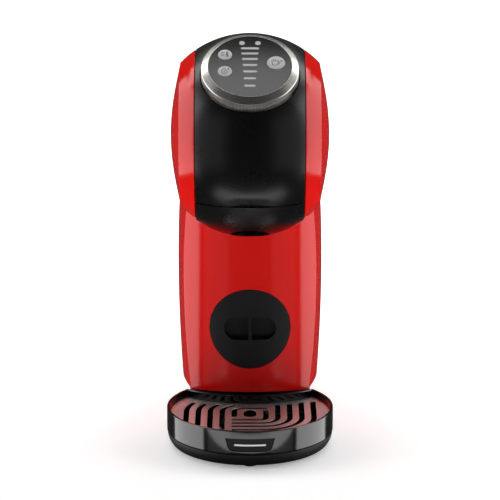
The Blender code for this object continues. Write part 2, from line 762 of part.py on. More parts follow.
def column_side(side):
    """Red side cover, from the front cover's return to the tank."""
    bm = bmesh.new()
    bmesh.ops.create_grid(bm, x_segments=6, y_segments=10, size=1)
    low = COLUMN_BOTTOM - COLUMN_EDGE_DROP
    for v in bm.verts:
        share, level = (v.co.x + 1) / 2, (v.co.y + 1) / 2
        z = low + (COLUMN_TOP - low) * level
        start = front_surface_y(crease_half(z), z) + FRONT_RETURN + GAP
        v.co = side_point(side, start + (COLUMN_BACK_Y - start) * share**1.3, z)
    bmesh.ops.recalc_face_normals(bm, faces=bm.faces)
    name = "column_side_left" if side < 0 else "column_side_right"
    obj = skin_inwards(new_mesh_object(name, bm), SKIN, (0, 20 * MM, 110 * MM))
    return finish(cut(obj, head_room(name + "_head_room")), red_gloss(), 25)


def tray_mount_disc():
    """Round black mount in the column's front, with a socket for the tray's tongue and a rib across it."""
    bm = bmesh.new()
    bmesh.ops.create_grid(bm, x_segments=12, y_segments=3, size=1)
    for v in bm.verts:
        x, z = v.co.x * 32 * MM, DISC_Z + v.co.y * 32 * MM
        v.co = (x, front_surface_y(x, z), z)
    bmesh.ops.recalc_face_normals(bm, faces=bm.faces)
    obj = skin_inwards(new_mesh_object("tray_mount_disc", bm), 9 * MM, (0, 30 * MM, DISC_Z))
    round_part = cylinder("disc_round", DISC_RADIUS, (0, -80 * MM, DISC_Z), (0, 0, DISC_Z), 40)
    obj = kept_inside(obj, round_part)
    depth = front_y(DISC_Z) + 6.2 * MM
    socket = stadium_prism("socket_cut", SOCKET_HALF, SOCKET_RADIUS, DISC_Z - 0.6 * MM, -60 * MM, depth)
    rib = box("socket_rib", (-1.2 * MM, -70 * MM, DISC_Z - 20 * MM), (1.2 * MM, 0, DISC_Z + 20 * MM))
    return finish(cut(obj, cut(socket, rib)), black_matt(), 25)


def column_back():
    """Black back wall of the column, in front of the tank."""
    obj = box("column_back", (-43 * MM, 59.5 * MM, BASE_TOP + GAP), (43 * MM, 62.3 * MM, 201.6 * MM))
    return finish(obj, black_matt())


def column_cap():
    """Black cover over the top of the column, behind the head."""
    obj = box("column_cap", (-43 * MM, 5 * MM, 202 * MM), (43 * MM, 62.3 * MM, 205.6 * MM))
    neck = box("cap_neck", (-40.4 * MM, -30 * MM, 202.1 * MM), (40.4 * MM, 6 * MM, 205.5 * MM))
    obj = joined(obj, neck)
    barrel_room = box("barrel_room", (-38 * MM, -40 * MM, 190 * MM), (38 * MM, 0.2 * MM, 215 * MM))
    return finish(cut(obj, head_room("cap_head_room"), barrel_room), black_matt())


# ---------------------------------------------------------------- base and feet


def base_outline(inset):
    """Plan of the base: the column's crowned front, straight sides and the tank's rounded back."""
    half = BASE_HALF_WIDTH - inset
    xs = [half * (2 * i / 12 - 1) for i in range(13)]
    front = [(x, COLUMN_FRONT_Y + 1.2 * MM + inset + crown_drop(x)) for x in xs]
    return front + arc((0, TANK_Y), (TANK_HALF_WIDTH - 1.2 * MM - inset, TANK_BACK - inset), 0, 180, 20)


def front_strip(name, inner, outer, half, low, high):
    """A thin wall that follows the column's front: inner and outer are distances from the crown's centre."""
    centre = (0, COLUMN_FRONT_Y + CROWN_RADIUS)
    turn = math.degrees(math.asin(half / outer))
    outline = arc(centre, outer, 270 - turn, 270 + turn, 10) + arc(centre, inner, 270 + turn, 270 - turn, 10)
    return plate(name, outline, low, high)


def base_housing():
    """Black skirt under the column and tank: a deck with walls, open underneath."""
    obj = plate("base_housing", base_outline(0), FOOT_HEIGHT, BASE_TOP)
    hollow = plate("base_hollow", base_outline(SKIN), 0, BASE_TOP - SKIN)
    upstand = front_strip(
        "upstand", CROWN_RADIUS - 5.6 * MM, CROWN_RADIUS - 3.1 * MM, 38 * MM, BASE_TOP - 1 * MM, 34 * MM
    )
    way_up = box("way_up", (-36 * MM, -22 * MM, 20 * MM), (36 * MM, 56 * MM, 40 * MM))
    valve_way = cylinder("valve_way", 8 * MM, (0, TANK_Y, 20 * MM), (0, TANK_Y, 40 * MM), 20)
    socket = stadium_prism("base_socket", SOCKET_HALF + 0.4 * MM, 6.4 * MM, 14 * MM, -60 * MM, -38 * MM)
    gland_way = cylinder("gland_way", 6.3 * MM, (0, 120 * MM, GLAND_Z), (0, 150 * MM, GLAND_Z), 16)
    obj = cut(obj, hollow)
    pillars = [
        cylinder(name + "_pillar", 3.6 * MM, (x, y, 6.6 * MM), (x, y, BASE_TOP - 1 * MM), 12)
        for name, (x, y) in SCREWS.items()
    ]
    obj = joined(obj, upstand, *pillars)
    holes = [
        cylinder(name + "_core", 1.8 * MM, (x, y, 0), (x, y, 16 * MM), 8) for name, (x, y) in SCREWS.items()
    ]
    return finish(cut(obj, way_up, valve_way, socket, gland_way, *holes), black_matt())


FEET = {
    "foot_front_left": (-31 * MM, -22 * MM),
    "foot_front_right": (31 * MM, -22 * MM),
    "foot_back_left": (-30 * MM, 110 * MM),
    "foot_back_right": (30 * MM, 110 * MM),
}
SCREWS = {
    "base_screw_1": (-18 * MM, -30 * MM),
    "base_screw_2": (18 * MM, -30 * MM),
    "base_screw_3": (-14 * MM, 122 * MM),
    "base_screw_4": (14 * MM, 122 * MM),
}


def base_plate():
    """Bottom cover, let into the base, with pockets for the feet and screws."""
    obj = plate("base_plate", base_outline(SKIN + 0.5 * MM), 3.4 * MM, 6.2 * MM)
    tools = [
        cylinder(name + "_pocket", 7.3 * MM, (x, y, 0), (x, y, 4.6 * MM), 16) for name, (x, y) in FEET.items()
    ]
    tools += [
        cylinder(name + "_hole", 1.8 * MM, (x, y, 0), (x, y, 20 * MM), 8) for name, (x, y) in SCREWS.items()
    ]
    return finish(cut(obj, *tools), black_matt())


def foot(name):
    x, y = FEET[name]
    profile = [(0, 0), (6, 0), (7, 1), (7, 4.3), (0, 4.3)]
    return finish(turned(name, in_mm(profile), (x, y, 0), (0, 0, 1), 16), rubber())


def screw_piece(name):
    """Pan-head screw that holds the base plate to a pillar of the base."""
    x, y = SCREWS[name]
    profile = [(0, 1.4), (3, 1.4), (3, 3.1), (1.4, 3.1), (1.4, 13), (0, 14)]
    return finish(turned(name, in_mm(profile), (x, y, 0), (0, 0, 1), 8), steel())


def cord_gland():
    """Bush in the back wall of the base that the mains lead comes out of."""
    profile = [(3.6, 0), (8, 0), (8, 1.8), (5.8, 1.8), (5.8, 5.4), (3.6, 5.4)]
    start = (0, TANK_Y + TANK_BACK - 5.6 * MM, GLAND_Z)
    return finish(turned("cord_gland", in_mm(profile), start, (0, 1, 0), 16, closed=True), rubber())


# ---------------------------------------------------------------- works inside the column

PUMP = (-18 * MM, -2 * MM)
HEATER_X = 14 * MM
FLOW_METER = (22 * MM, -3 * MM)


def inner_frame():
    """White moulded frame that carries the pump and the heater."""
    wall = box("inner_frame", (-37 * MM, 22 * MM, 27.5 * MM), (37 * MM, 25 * MM, 199 * MM))
    shelf = box("shelf", (-37 * MM, -20 * MM, 118 * MM), (37 * MM, 23 * MM, 120.5 * MM))
    floor = box("floor", (-40 * MM, 21 * MM, 26.9 * MM), (40 * MM, 56.5 * MM, 29.4 * MM))
    hose_way = cylinder("hose_way", 4.6 * MM, (HEATER_X, -3 * MM, 110 * MM), (HEATER_X, -3 * MM, 125 * MM), 12)
    return finish(cut(joined(wall, shelf, floor), hose_way), white_plastic())


def pump():
    """Vibration pump: inlet, coil body and outlet on one upright axis."""
    profile = [
        (0, 36), (3.5, 36), (3.5, 42), (9, 43), (9, 50), (14, 50), (14, 84), (8, 84), (8, 94), (4, 95),
        (4, 100), (0, 100),
    ]
    return finish(turned("pump", in_mm(profile), (*PUMP, 0), (0, 0, 1), 16), white_plastic())


def pump_bracket():
    """Steel yoke round the pump's coil."""
    x, y = PUMP
    outer = box("pump_bracket", (x - 17 * MM, y - 17 * MM, 52 * MM), (x + 17 * MM, y + 17 * MM, 82 * MM))
    room = cylinder("coil_room", 14.5 * MM, (x, y, 40 * MM), (x, y, 100 * MM), 20)
    window = box("coil_window", (x - 11 * MM, y - 30 * MM, 57 * MM), (x + 11 * MM, y + 30 * MM, 77 * MM))
    return finish(cut(outer, room, window), steel())


def pump_mount(name, shaft, low, high):
    """Rubber ring that keeps the pump's shake out of the frame."""
    profile = [(shaft + 0.4, low), (13.5, low), (13.5, high), (shaft + 0.4, high)]
    return finish(turned(name, in_mm(profile), (*PUMP, 0), (0, 0, 1), 16, closed=True), rubber())


def thermoblock():
    """Cast heater block with cooling ribs, its inlet below and its outlet above."""
    obj = box("thermoblock", (HEATER_X - 21 * MM, -14 * MM, 128 * MM), (HEATER_X + 21 * MM, 8 * MM, 176 * MM))
    ribs = [
        box(f"rib_{i}", (HEATER_X - 19 * MM, -17 * MM, (133 + 10 * i) * MM),
            (HEATER_X + 19 * MM, -13 * MM, (136 + 10 * i) * MM))
        for i in range(4)
    ]
    inlet = cylinder("heater_inlet", 3.4 * MM, (HEATER_X, -3 * MM, 121 * MM), (HEATER_X, -3 * MM, 130 * MM), 12)
    outlet = cylinder("heater_outlet", 3.4 * MM, (HEATER_X, -3 * MM, 174 * MM), (HEATER_X, -3 * MM, 181 * MM), 12)
    return finish(joined(obj, *ribs, inlet, outlet), material("aluminium", ALUMINIUM, 0.45, 1.0))


def flow_meter():
    x, y = FLOW_METER
    obj = cylinder("flow_meter", 12 * MM, (x, y, 52 * MM), (x, y, 64 * MM), 20)
    lower = cylinder("meter_in", 3 * MM, (x + 5 * MM, y, 46 * MM), (x + 5 * MM, y, 54 * MM), 10)
    upper = cylinder("meter_out", 3 * MM, (x - 5 * MM, y, 46 * MM), (x - 5 * MM, y, 54 * MM), 10)
    return finish(joined(obj, lower, upper), white_plastic())


def control_board():
    """Mains circuit board on the back of the inner frame, with its relay, capacitor and choke."""
    obj = box("control_board", (-34 * MM, 40 * MM, 70 * MM), (34 * MM, 41.6 * MM, 160 * MM))
    relay = box("relay", (-24 * MM, 41 * MM, 130 * MM), (-6 * MM, 55 * MM, 150 * MM))
    capacitor = cylinder("capacitor", 6 * MM, (14 * MM, 41 * MM, 92 * MM), (14 * MM, 56 * MM, 92 * MM), 12)
    choke = box("choke", (-26 * MM, 41 * MM, 80 * MM), (-10 * MM, 52 * MM, 100 * MM))
    return finish(joined(obj, relay, capacitor, choke), board_green())


def tank_socket():
    """Fixed spigot under the tank that opens its valve."""
    profile = [(2, 17.4), (6.5, 17.4), (6.5, 21), (7.6, 21), (7.6, 25), (6.5, 25), (6.5, 28), (2, 28)]
    obj = turned("tank_socket", in_mm(profile), (0, TANK_Y, 0), (0, 0, 1), 16, closed=True)
    return finish(obj, white_plastic())


def hose(name, corners, radius=2.8, count=14):
    route = smooth_route([(x * MM, y * MM, z * MM) for x, y, z in corners], count)
    return finish(tube(name, route, radius * MM), silicone())


def hoses():
    """Water's way from the tank to the injector."""
    hose("suction_hose", [
        (0, 92, 15.8), (0, 92, 13.4), (2, 84, 10.6), (16, 50, 10.6), (26, 12, 12), (27, -3, 24), (27, -3, 40),
        (27, -3, 45.2),
    ])
    hose("pump_hose", [
        (17, -3, 45.2), (17, -3, 38), (8, -3, 27.2), (-8, -2, 26.4), (-18, -2, 30), (-18, -2, 35.2),
    ])
    hose("pressure_hose", [
        (-18, -2, 101), (-18, -2, 105), (-10, -2, 111), (4, -3, 110), (14, -3, 114), (14, -3, 120.4),
    ], 2.6)
    hose("hot_hose", [
        (14, -3, 181.8), (14, -4, 186), (13, -14, 191), (12, -16.5, 198), (9, -24, 208), (4, -42, 220),
        (0, -64, 230), (0, -78, 230.5), (0, -85, 228.5), (0, -88, 223.5), (0, -88, 214), (0, -88, 203),
    ], 2.4, 28)


# ---------------------------------------------------------------- drip tray


def tray_outline(inset, front_points=36, back_points=10):
    """Plan of the tray: an ellipse whose back follows the column's crowned front."""
    rx, ry = TRAY_HALF_WIDTH - inset, TRAY_HALF_LENGTH - inset
    centre_y = COLUMN_FRONT_Y + CROWN_RADIUS
    reach = CROWN_RADIUS + TRAY_BACK_GAP + inset

    def outside(angle):
        x, y = rx * math.cos(angle), TRAY_Y + ry * math.sin(angle)
        return math.hypot(x, y - centre_y) > reach

    low, high = 0.0, math.pi / 2
    for _ in range(40):
        middle = (low + high) / 2
        low, high = (middle, high) if outside(middle) else (low, middle)
    corner = math.degrees(low)
    front = arc((0, TRAY_Y), (rx, ry), 180 - corner, 360 + corner, front_points)
    x, y = front[-1]
    turn = math.degrees(math.atan2(y - centre_y, x))
    back = arc((0, centre_y), reach, turn, -180 - turn, back_points)
    return front + back[1:-1]


BADGE_HALF = 17.6 * MM
BADGE_LOW = 12.2 * MM
BADGE_HIGH = 21.4 * MM


def tray_front_y(x, inset=0.0):
    """Where the front of the tray's ellipse stands at a distance from the middle."""
    rx, ry = TRAY_HALF_WIDTH - inset, TRAY_HALF_LENGTH - inset
    return TRAY_Y - ry * math.sqrt(1 - (x / rx) ** 2)


def badge_block(name, half, low, high, front, back):
    """A slab that follows the tray's front, between two distances in from its face."""
    xs = [half * (2 * i / 6 - 1) for i in range(7)]
    outline = [(x, tray_front_y(x, front)) for x in xs] + [(x, tray_front_y(x, back)) for x in reversed(xs)]
    return plate(name, outline, low, high)


def tray_bowl():
    """Gloss black bowl with an upright wall, ledges for the grid and a recess for the name plate."""
    obj = plate("tray_bowl", tray_outline(0), SUPPORT_TOP_Z + GAP, TRAY_RIM_Z)
    hollow = plate("bowl_hollow", tray_outline(2 * MM), SUPPORT_TOP_Z + 2.2 * MM, 40 * MM)
    places = [(-44 * MM, -104 * MM), (44 * MM, -104 * MM), (-44 * MM, -62 * MM), (44 * MM, -62 * MM)]
    ledges = [
        box(f"ledge_{i}", (x - 3 * MM, y - 2 * MM, SUPPORT_TOP_Z + 1 * MM),
            (x + 3 * MM, y + 2 * MM, GRID_TOP_Z - GRID_THICKNESS - GAP))
        for i, (x, y) in enumerate(places)
    ]
    backing = badge_block("badge_back", BADGE_HALF + 2 * MM, BADGE_LOW - 1 * MM, 20 * MM, 1 * MM, 2.8 * MM)
    recess = badge_block("badge_recess", BADGE_HALF, BADGE_LOW, BADGE_HIGH, -1 * MM, 1.4 * MM)
    return finish(cut(joined(cut(obj, hollow), *ledges, backing), recess), black_gloss(), 25)


def tray_badge():
    """Plain plate let into the bowl's front."""
    obj = badge_block(
        "tray_badge", BADGE_HALF - GAP, BADGE_LOW + GAP, BADGE_HIGH - GAP, 0.4 * MM, 1.15 * MM
    )
    return finish(obj, black_matt())


def tray_support():
    """Matt lower dish that carries the bowl; its tongue plugs into the base or into the round mount."""
    outline = tray_outline(0.4 * MM)
    sections = []
    for z, size in ((1.2 * MM, 0.94), (4.6 * MM, 0.985), (SUPPORT_TOP_Z, 1)):
        sections.append([(x * size, -84 * MM + (y + 84 * MM) * size, z) for x, y in outline])
    obj = loft("tray_support", sections)
    hollow = plate("support_hollow", tray_outline(7 * MM), 4.4 * MM, 20 * MM)
    obj = cut(obj, hollow)
    near, far = CROWN_RADIUS - 1.0 * MM, CROWN_RADIUS + 1.2 * MM
    strip = front_strip("tongue_strip", near, far, 15 * MM, 3 * MM, 19 * MM)
    root = front_strip("tongue_root", near, far + 3 * MM, 14 * MM, 3.1 * MM, 9.2 * MM)
    tongue = stadium_prism("tongue", SOCKET_HALF - 1.2 * MM, 5 * MM, 14 * MM, -49.05 * MM, -43 * MM)
    pad = cylinder("front_pad", 6 * MM, (0, -130 * MM, 0), (0, -130 * MM, 5 * MM), 16)
    return finish(joined(obj, strip, root, tongue, pad), black_matt(), 25)


SLOT_HALF = 2.0 * MM
SLOT_PITCH = 8.6 * MM
SLOT_COUNT = 5
LEFT_BEND = (-5 * MM, -71.8 * MM)  # centre of the left slots' bends
RIGHT_BEND = (7 * MM, -87.3 * MM)
FRONT_END_X = -13.1 * MM  # where the slots along the front stop


def back_margin(x):
    """How far back a slot may reach."""
    return -58.2 * MM + x**2 / (190 * MM)


def left_slot(i):
    """Straight from the front, then bent to the right over the middle hole."""
    radius = 6.3 * MM + SLOT_PITCH * i
    x = LEFT_BEND[0] - radius
    front = -86.3 * MM if i == 0 else tray_front_y(x, 9 * MM)
    points = [(x, front)]
    for px, py in arc(LEFT_BEND, radius, 180, 90, 14):
        if i and py > back_margin(px):
            break
        points.append((px, py))
    if i == 0:
        points.append((12.9 * MM, points[-1][1]))
    return points


def right_slot(i):
    """Straight from the back, then bent to the left in front of the middle hole."""
    rx, ry = 4.4 * MM + SLOT_PITCH * i, 5.9 * MM + 7.8 * MM * i
    x = RIGHT_BEND[0] + rx
    back = -69.2 * MM if i == 0 else min(back_margin(x), -49.8 * MM)
    points = [(x, back)]
    for px, py in arc(RIGHT_BEND, (rx, ry), 0, -90, 12):
        if py < tray_front_y(px, 9 * MM):
            break
        points.append((px, py))
    if i < SLOT_COUNT - 1:
        points.append((FRONT_END_X, points[-1][1]))
    return points


def slot_wall(name, path):
    """A cutter as wide as a slot along a path on the grid."""
    bm = bmesh.new()
    low = [bm.verts.new((x, y, 10 * MM)) for x, y in path]
    edges = [bm.edges.new(pair) for pair in zip(low, low[1:])]
    raised = bmesh.ops.extrude_edge_only(bm, edges=edges)
    top = [v for v in raised["geom"] if isinstance(v, bmesh.types.BMVert)]
    bmesh.ops.translate(bm, vec=(0, 0, 20 * MM), verts=top)
    bmesh.ops.recalc_face_normals(bm, faces=bm.faces)
    return solidified(new_mesh_object(name, bm), 2 * SLOT_HALF, 0.0)


def drip_grid():
    """Steel plate with bent slots, let into the bowl; its back corners are cut away beside two tabs."""
    top, low = GRID_TOP_Z, GRID_TOP_Z - GRID_THICKNESS
    obj = plate("drip_grid", tray_outline(2.5 * MM), low, top)
    hole = plate("middle_hole", rounded_outline((0, -77.9 * MM), 4.6 * MM, 8.1 * MM, 3.4 * MM), 0, 40 * MM)
    corners = []
    for side in (-1, 1):
        outline = [
            (side * x * MM, y * MM) for x, y in ((45.2, -20), (45.2, -56.3), (57.5, -84), (75, -84), (75, -20))
        ]
        corners.append(plate(f"corner_{side}", outline, 0, 40 * MM))
    slots = [slot_wall(f"left_{i}", left_slot(i)) for i in range(SLOT_COUNT)]
    slots += [slot_wall(f"right_{i}", right_slot(i)) for i in range(SLOT_COUNT)]
    return finish(cut(obj, hole, *corners, *slots), steel())


# ---------------------------------------------------------------- water tank


def tank_outline(inset):
    half = TANK_HALF_WIDTH - inset
    front = [(-half, TANK_FRONT_Y + inset), (half, TANK_FRONT_Y + inset)]
    return front + arc((0, TANK_Y), (half, TANK_BACK - inset), 0, 180, 24)


def tank_body():
    """Clear tank, open at the top, with the valve's hole in its floor."""
    obj = plate("tank_body", tank_outline(0), BASE_TOP + 0.4 * MM, TANK_TOP_Z)
    hollow = plate("tank_hollow", tank_outline(2.2 * MM), 29.4 * MM, 220 * MM)
    valve_hole = cylinder("valve_hole", 7.2 * MM, (0, TANK_Y, 20 * MM), (0, TANK_Y, 40 * MM), 20)
    return finish(cut(obj, hollow, valve_hole), material("clear_smoke", CLEAR_SMOKE, 0.1))


def valve_housing():
    """Cup over the hole in the tank's floor that guides the poppet, with an opening in its top."""
    profile = [(7.6, 29.7), (11, 29.7), (11, 43.5), (2.4, 43.5), (2.4, 41.5), (8.6, 41.5), (8.6, 34), (7.6, 34)]
    return finish(turned("valve_housing", in_mm(profile), (0, TANK_Y, 0), (0, 0, 1), 16, closed=True), white_plastic())


def valve_poppet():
    profile = [(0, 28.4), (5.5, 28.4), (6.7, 30), (6.7, 32), (1.6, 32), (1.6, 47), (0, 47)]
    return finish(turned("valve_poppet", in_mm(profile), (0, TANK_Y, 0), (0, 0, 1), 16), black_matt())


def valve_spring():
    turns, per_turn, radius, low, high = 3, 8, 3.4 * MM, 33.2 * MM, 40.4 * MM
    coil = []
    for i in range(turns * per_turn + 1):
        angle = 2 * math.pi * i / per_turn
        share = i / (turns * per_turn)
        coil.append((radius * math.cos(angle), TANK_Y + radius * math.sin(angle), low + (high - low) * share))
    return finish(tube("valve_spring", coil, 0.45 * MM, 1), steel())


def tank_lid():
    """Black lid with a rim that drops into the tank; it hinges along its front edge."""
    obj = plate("tank_lid", tank_outline(-0.2 * MM), TANK_TOP_Z + GAP, TANK_TOP_Z + 5.5 * MM)
    hollow = plate("lid_hollow", tank_outline(4.4 * MM), 180 * MM, TANK_TOP_Z + 3 * MM)
    spigot = plate("lid_spigot", tank_outline(2.6 * MM), TANK_TOP_Z - 4 * MM, TANK_TOP_Z + 1 * MM)
    spigot_room = box("spigot_room", (-60 * MM, 40 * MM, 180 * MM), (60 * MM, TANK_FRONT_Y + 14 * MM, TANK_TOP_Z))
    return finish(cut(joined(obj, cut(spigot, spigot_room)), hollow), black_matt())


def build():
    for side in (-1, 1):
        head_side(side)
        column_side(side)
    visor_shell()
    visor_frame()
    dial_seat()
    selector_ring()
    control_panel()
    light_guide()
    for key in KEYS:
        panel_key(key)
    display_board()
    hinge_pin()
    head_back()
    head_frame()
    injector_plate()
    injector_needle()
    injector_seal()
    pod_holder()
    pod_seat_ring()
    column_front()
    tray_mount_disc()
    column_back()
    column_cap()
    base_housing()
    base_plate()
    for name in FEET:
        foot(name)
    for name in SCREWS:
        screw_piece(name)
    cord_gland()
    inner_frame()
    pump()
    pump_bracket()
    pump_mount("pump_mount_lower", 9, 43.3, 49.7)
    pump_mount("pump_mount_upper", 8, 84.3, 90)
    thermoblock()
    flow_meter()
    control_board()
    tank_socket()
    hoses()
    tray_bowl()
    tray_badge()
    tray_support()
    drip_grid()
    tank_body()
    valve_housing()
    valve_poppet()
    valve_spring()
    tank_lid()


build()
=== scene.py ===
import math

import bmesh
import bpy
from mathutils import Matrix, Vector


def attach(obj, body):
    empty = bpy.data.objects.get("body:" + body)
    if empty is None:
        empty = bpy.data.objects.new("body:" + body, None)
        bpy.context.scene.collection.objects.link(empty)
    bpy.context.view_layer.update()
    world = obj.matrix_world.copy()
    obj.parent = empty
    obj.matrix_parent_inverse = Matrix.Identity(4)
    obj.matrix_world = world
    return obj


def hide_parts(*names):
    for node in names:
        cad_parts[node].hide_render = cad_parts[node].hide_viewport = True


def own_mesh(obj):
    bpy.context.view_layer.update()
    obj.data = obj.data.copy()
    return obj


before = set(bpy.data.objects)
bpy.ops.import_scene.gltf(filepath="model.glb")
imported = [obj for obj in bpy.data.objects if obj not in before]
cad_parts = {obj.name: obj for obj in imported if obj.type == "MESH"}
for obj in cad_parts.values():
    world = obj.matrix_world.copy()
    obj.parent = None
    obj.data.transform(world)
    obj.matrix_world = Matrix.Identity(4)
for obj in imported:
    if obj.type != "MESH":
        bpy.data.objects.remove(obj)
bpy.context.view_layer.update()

# --- Camera ---
# A long lens a little above the machine and square to its front, tipped down at it.
camera = bpy.data.objects.new("camera", bpy.data.cameras.new("camera"))
bpy.context.scene.collection.objects.link(camera)
TIP_DOWN = 13.46  # degrees
camera.data.lens = 180.2
camera.data.sensor_width = 36
camera.location = (0, -1.8, 0.554)
camera.rotation_euler = (math.radians(90 - TIP_DOWN), 0, 0)
bpy.context.scene.camera = camera
bpy.context.scene.view_settings.view_transform = "Standard"


# --- Studio ---
# A white table that glows towards the back and a white backdrop, both kept out of gloss reflections. Tall
# softboxes stand at the sides with weak fills before them, kickers light the steel ring, a small one hangs above.
# Nothing bright stands straight in front, so gloss that faces the viewer stays deep in colour.
def linear(hex_colour):
    """A colour given as sRGB hex, as the linear RGBA that a shader takes."""
    channels = [int(hex_colour[i:i + 2], 16) / 255 for i in (1, 3, 5)]
    return (*[c / 12.92 if c <= 0.04045 else ((c + 0.055) / 1.055) ** 2.4 for c in channels], 1)


def add(material, kind, inputs, **settings):
    """One node with its settings; an input is given a value, or linked when it is another node's output."""
    made = material.node_tree.nodes.new(kind)
    for key, value in settings.items():
        setattr(made, key, value)
    for key, value in inputs.items():
        if isinstance(value, bpy.types.NodeSocket):
            material.node_tree.links.new(value, made.inputs[key])
        else:
            made.inputs[key].default_value = value
    return made


def blank_material(name):
    """A node material with nothing in it yet."""
    material = bpy.data.materials.new(name)
    material.use_nodes = True
    material.node_tree.nodes.clear()
    return material


def as_surface(material, shader):
    """The material, with the shader as its surface."""
    add(material, "ShaderNodeOutputMaterial", {"Surface": shader.outputs[0]})
    return material


def placed(name, bm):
    """An object in the scene whose mesh is the bmesh, which is used up."""
    mesh = bpy.data.meshes.new(name)
    bm.to_mesh(mesh)
    bm.free()
    item = bpy.data.objects.new(name, mesh)
    bpy.context.scene.collection.objects.link(item)
    return item


def sheet(across, up, size=1):
    """A flat square of faces, to be bent into shape."""
    bm = bmesh.new()
    bmesh.ops.create_grid(bm, x_segments=across, y_segments=up, size=size)
    return bm


# Matt white paint with a painted glow: a faint roller mottle keeps the table from looking drawn, and an emission
# that rises towards the back makes it glow brighter there.
SWEEP_HALF, SWEEP_DROP, BACKDROP_RADIUS = 6, 0.0004, 8
sweep = blank_material("white_table_painted_glow")
spot = add(sweep, "ShaderNodeTexCoord", {}).outputs["Object"]
mottle = add(sweep, "ShaderNodeTexNoise", {"Vector": spot, "Scale": 40.0, "Detail": 2.0})
tone = add(sweep, "ShaderNodeMix", {
    0: mottle.outputs["Fac"], 6: linear("#F4F4F4"), 7: linear("#F8F8F8"),
}, data_type="RGBA")
split = add(sweep, "ShaderNodeSeparateXYZ", {0: spot})
# Painted glow: the table's emission rises from 0.3 near the machine to 1.0 towards the back.
glow = add(sweep, "ShaderNodeMapRange", {0: split.outputs["Y"], 1: -0.1, 2: 0.7, 3: 0.3, 4: 1.0})
as_surface(sweep, add(sweep, "ShaderNodeBsdfPrincipled", {
    "Base Color": tone.outputs[2], "Roughness": 0.9, "Specular IOR Level": 0.1,
    "Emission Color": linear("#FFFFFF"), "Emission Strength": glow.outputs[0],
}))
bm = sheet(1, 1)
bmesh.ops.scale(bm, vec=(SWEEP_HALF, SWEEP_HALF, 1), verts=bm.verts)
bmesh.ops.translate(bm, vec=(0, 0, -SWEEP_DROP), verts=bm.verts)
floor = placed("sweep", bm)
floor.data.materials.append(sweep)
floor.visible_glossy = False
# Backdrop paper, lit so evenly that no pattern is left in it: it reads as plain white.
backdrop_paper = blank_material("white_backdrop_paper")
as_surface(backdrop_paper, add(backdrop_paper, "ShaderNodeEmission", {
    "Color": linear("#FFFFFF"), "Strength": 1.0,
}))
bm = bmesh.new()
bmesh.ops.create_uvsphere(bm, u_segments=48, v_segments=24, radius=BACKDROP_RADIUS)
backdrop = placed("backdrop", bm)
backdrop.data.materials.append(backdrop_paper)
backdrop.visible_diffuse = backdrop.visible_glossy = backdrop.visible_shadow = False


def softbox(name, place_at, aim, wide, high, power, shape="RECTANGLE"):
    """A soft light at a place, turned towards a point."""
    light = bpy.data.lights.new(name, "AREA")
    light.shape = shape
    light.size, light.size_y, light.energy = wide, high, power
    lamp = bpy.data.objects.new(name, light)
    lamp.location = place_at
    lamp.rotation_euler = (Vector(aim) - Vector(place_at)).to_track_quat("-Z", "Y").to_euler()
    lamp.visible_camera = False
    bpy.context.scene.collection.objects.link(lamp)


for side, name in ((-1, "left"), (1, "right")):
    softbox(name + "_softbox", (side * 1.35, 0.22, 0.3), (0, 0.22, 0.3), 1.6, 1.8, 21)
    softbox(name + "_fill", (side * 0.95, -1.0, 0.2), (0, -0.05, 0.2), 0.8, 1.4, 0.9)
    softbox(name + "_kicker", (side * 0.95, 0.5, 1.25), (0, -0.1, 0.28), 0.6, 0.5, 2.8)
softbox("top_softbox", (0, -0.18, 1.7), (0, -0.18, 0), 1.0, 0.6, 2.5, "ELLIPSE")
softbox("back_top_softbox", (0, 1.2, 1.9), (0, 1.0, 0), 2.4, 1.2, 30)
softbox("table_glow", (0, -0.203, -0.0003), (0, -0.203, 1), 0.3, 0.066, 0.1)
world = bpy.data.worlds.new("studio")
world.use_nodes = True
world.node_tree.nodes["Background"].inputs["Color"].default_value = linear("#FFFFFF")
world.node_tree.nodes["Background"].inputs["Strength"].default_value = 0.045
bpy.context.scene.world = world

# --- Head side covers ---
# Two moulded covers, one on each side of the head: a rim that carries on the head's crown, a crisp crease and
# a shallow dome. High-gloss ABS, coloured through, screwed to the head frame from inside.
MM = 0.001
HEAD = Vector((0, -0.068, 0.2234))  # middle of the round head
HEAD_RADIUS = 71 * MM
CROWN_RADIUS = 68 * MM  # of the crown across the width of head and column
CREASE_HALF = 49 * MM
BAND_HALF = 38 * MM  # half width of the black band between the covers
DOME_RISE = 6.8 * MM
WALL = 2.4 * MM  # of the moulded covers
RIGHT, FRONT, UP = Vector((1, 0, 0)), Vector((0, -1, 0)), Vector((0, 0, 1))


def crown_drop(x):
    """How far the crowned surface falls away at a distance from the middle."""
    return CROWN_RADIUS - math.sqrt(CROWN_RADIUS**2 - x**2)


def drum_radius(x):
    """Radius of the crowned head at a distance from the middle."""
    return HEAD_RADIUS - crown_drop(x)


def spaced(first, last, count):
    return [first + (last - first) * i / (count - 1) for i in range(count)]


def turned(profile, centre, axis, upright, steps=160, turn=360.0):
    """Spins (radius, height) points about an axis; the radius starts out in the upright direction."""
    bm = bmesh.new()
    row = [bm.verts.new(centre + radius * upright + height * axis) for radius, height in profile]
    edges = [bm.edges.new(pair) for pair in zip(row, row[1:])]
    bmesh.ops.spin(
        bm, geom=row + edges, cent=centre, axis=axis, angle=math.radians(turn), steps=steps,
        use_merge=turn == 360.0,
    )
    bmesh.ops.remove_doubles(bm, verts=bm.verts, dist=1e-7)
    bmesh.ops.recalc_face_normals(bm, faces=bm.faces)
    return bm


def outwards(bm, inside):
    """Makes an open surface face away from a point."""
    if sum((face.calc_center_median() - Vector(inside)).dot(face.normal) for face in bm.faces) < 0:
        bmesh.ops.reverse_faces(bm, faces=bm.faces)
    return bm


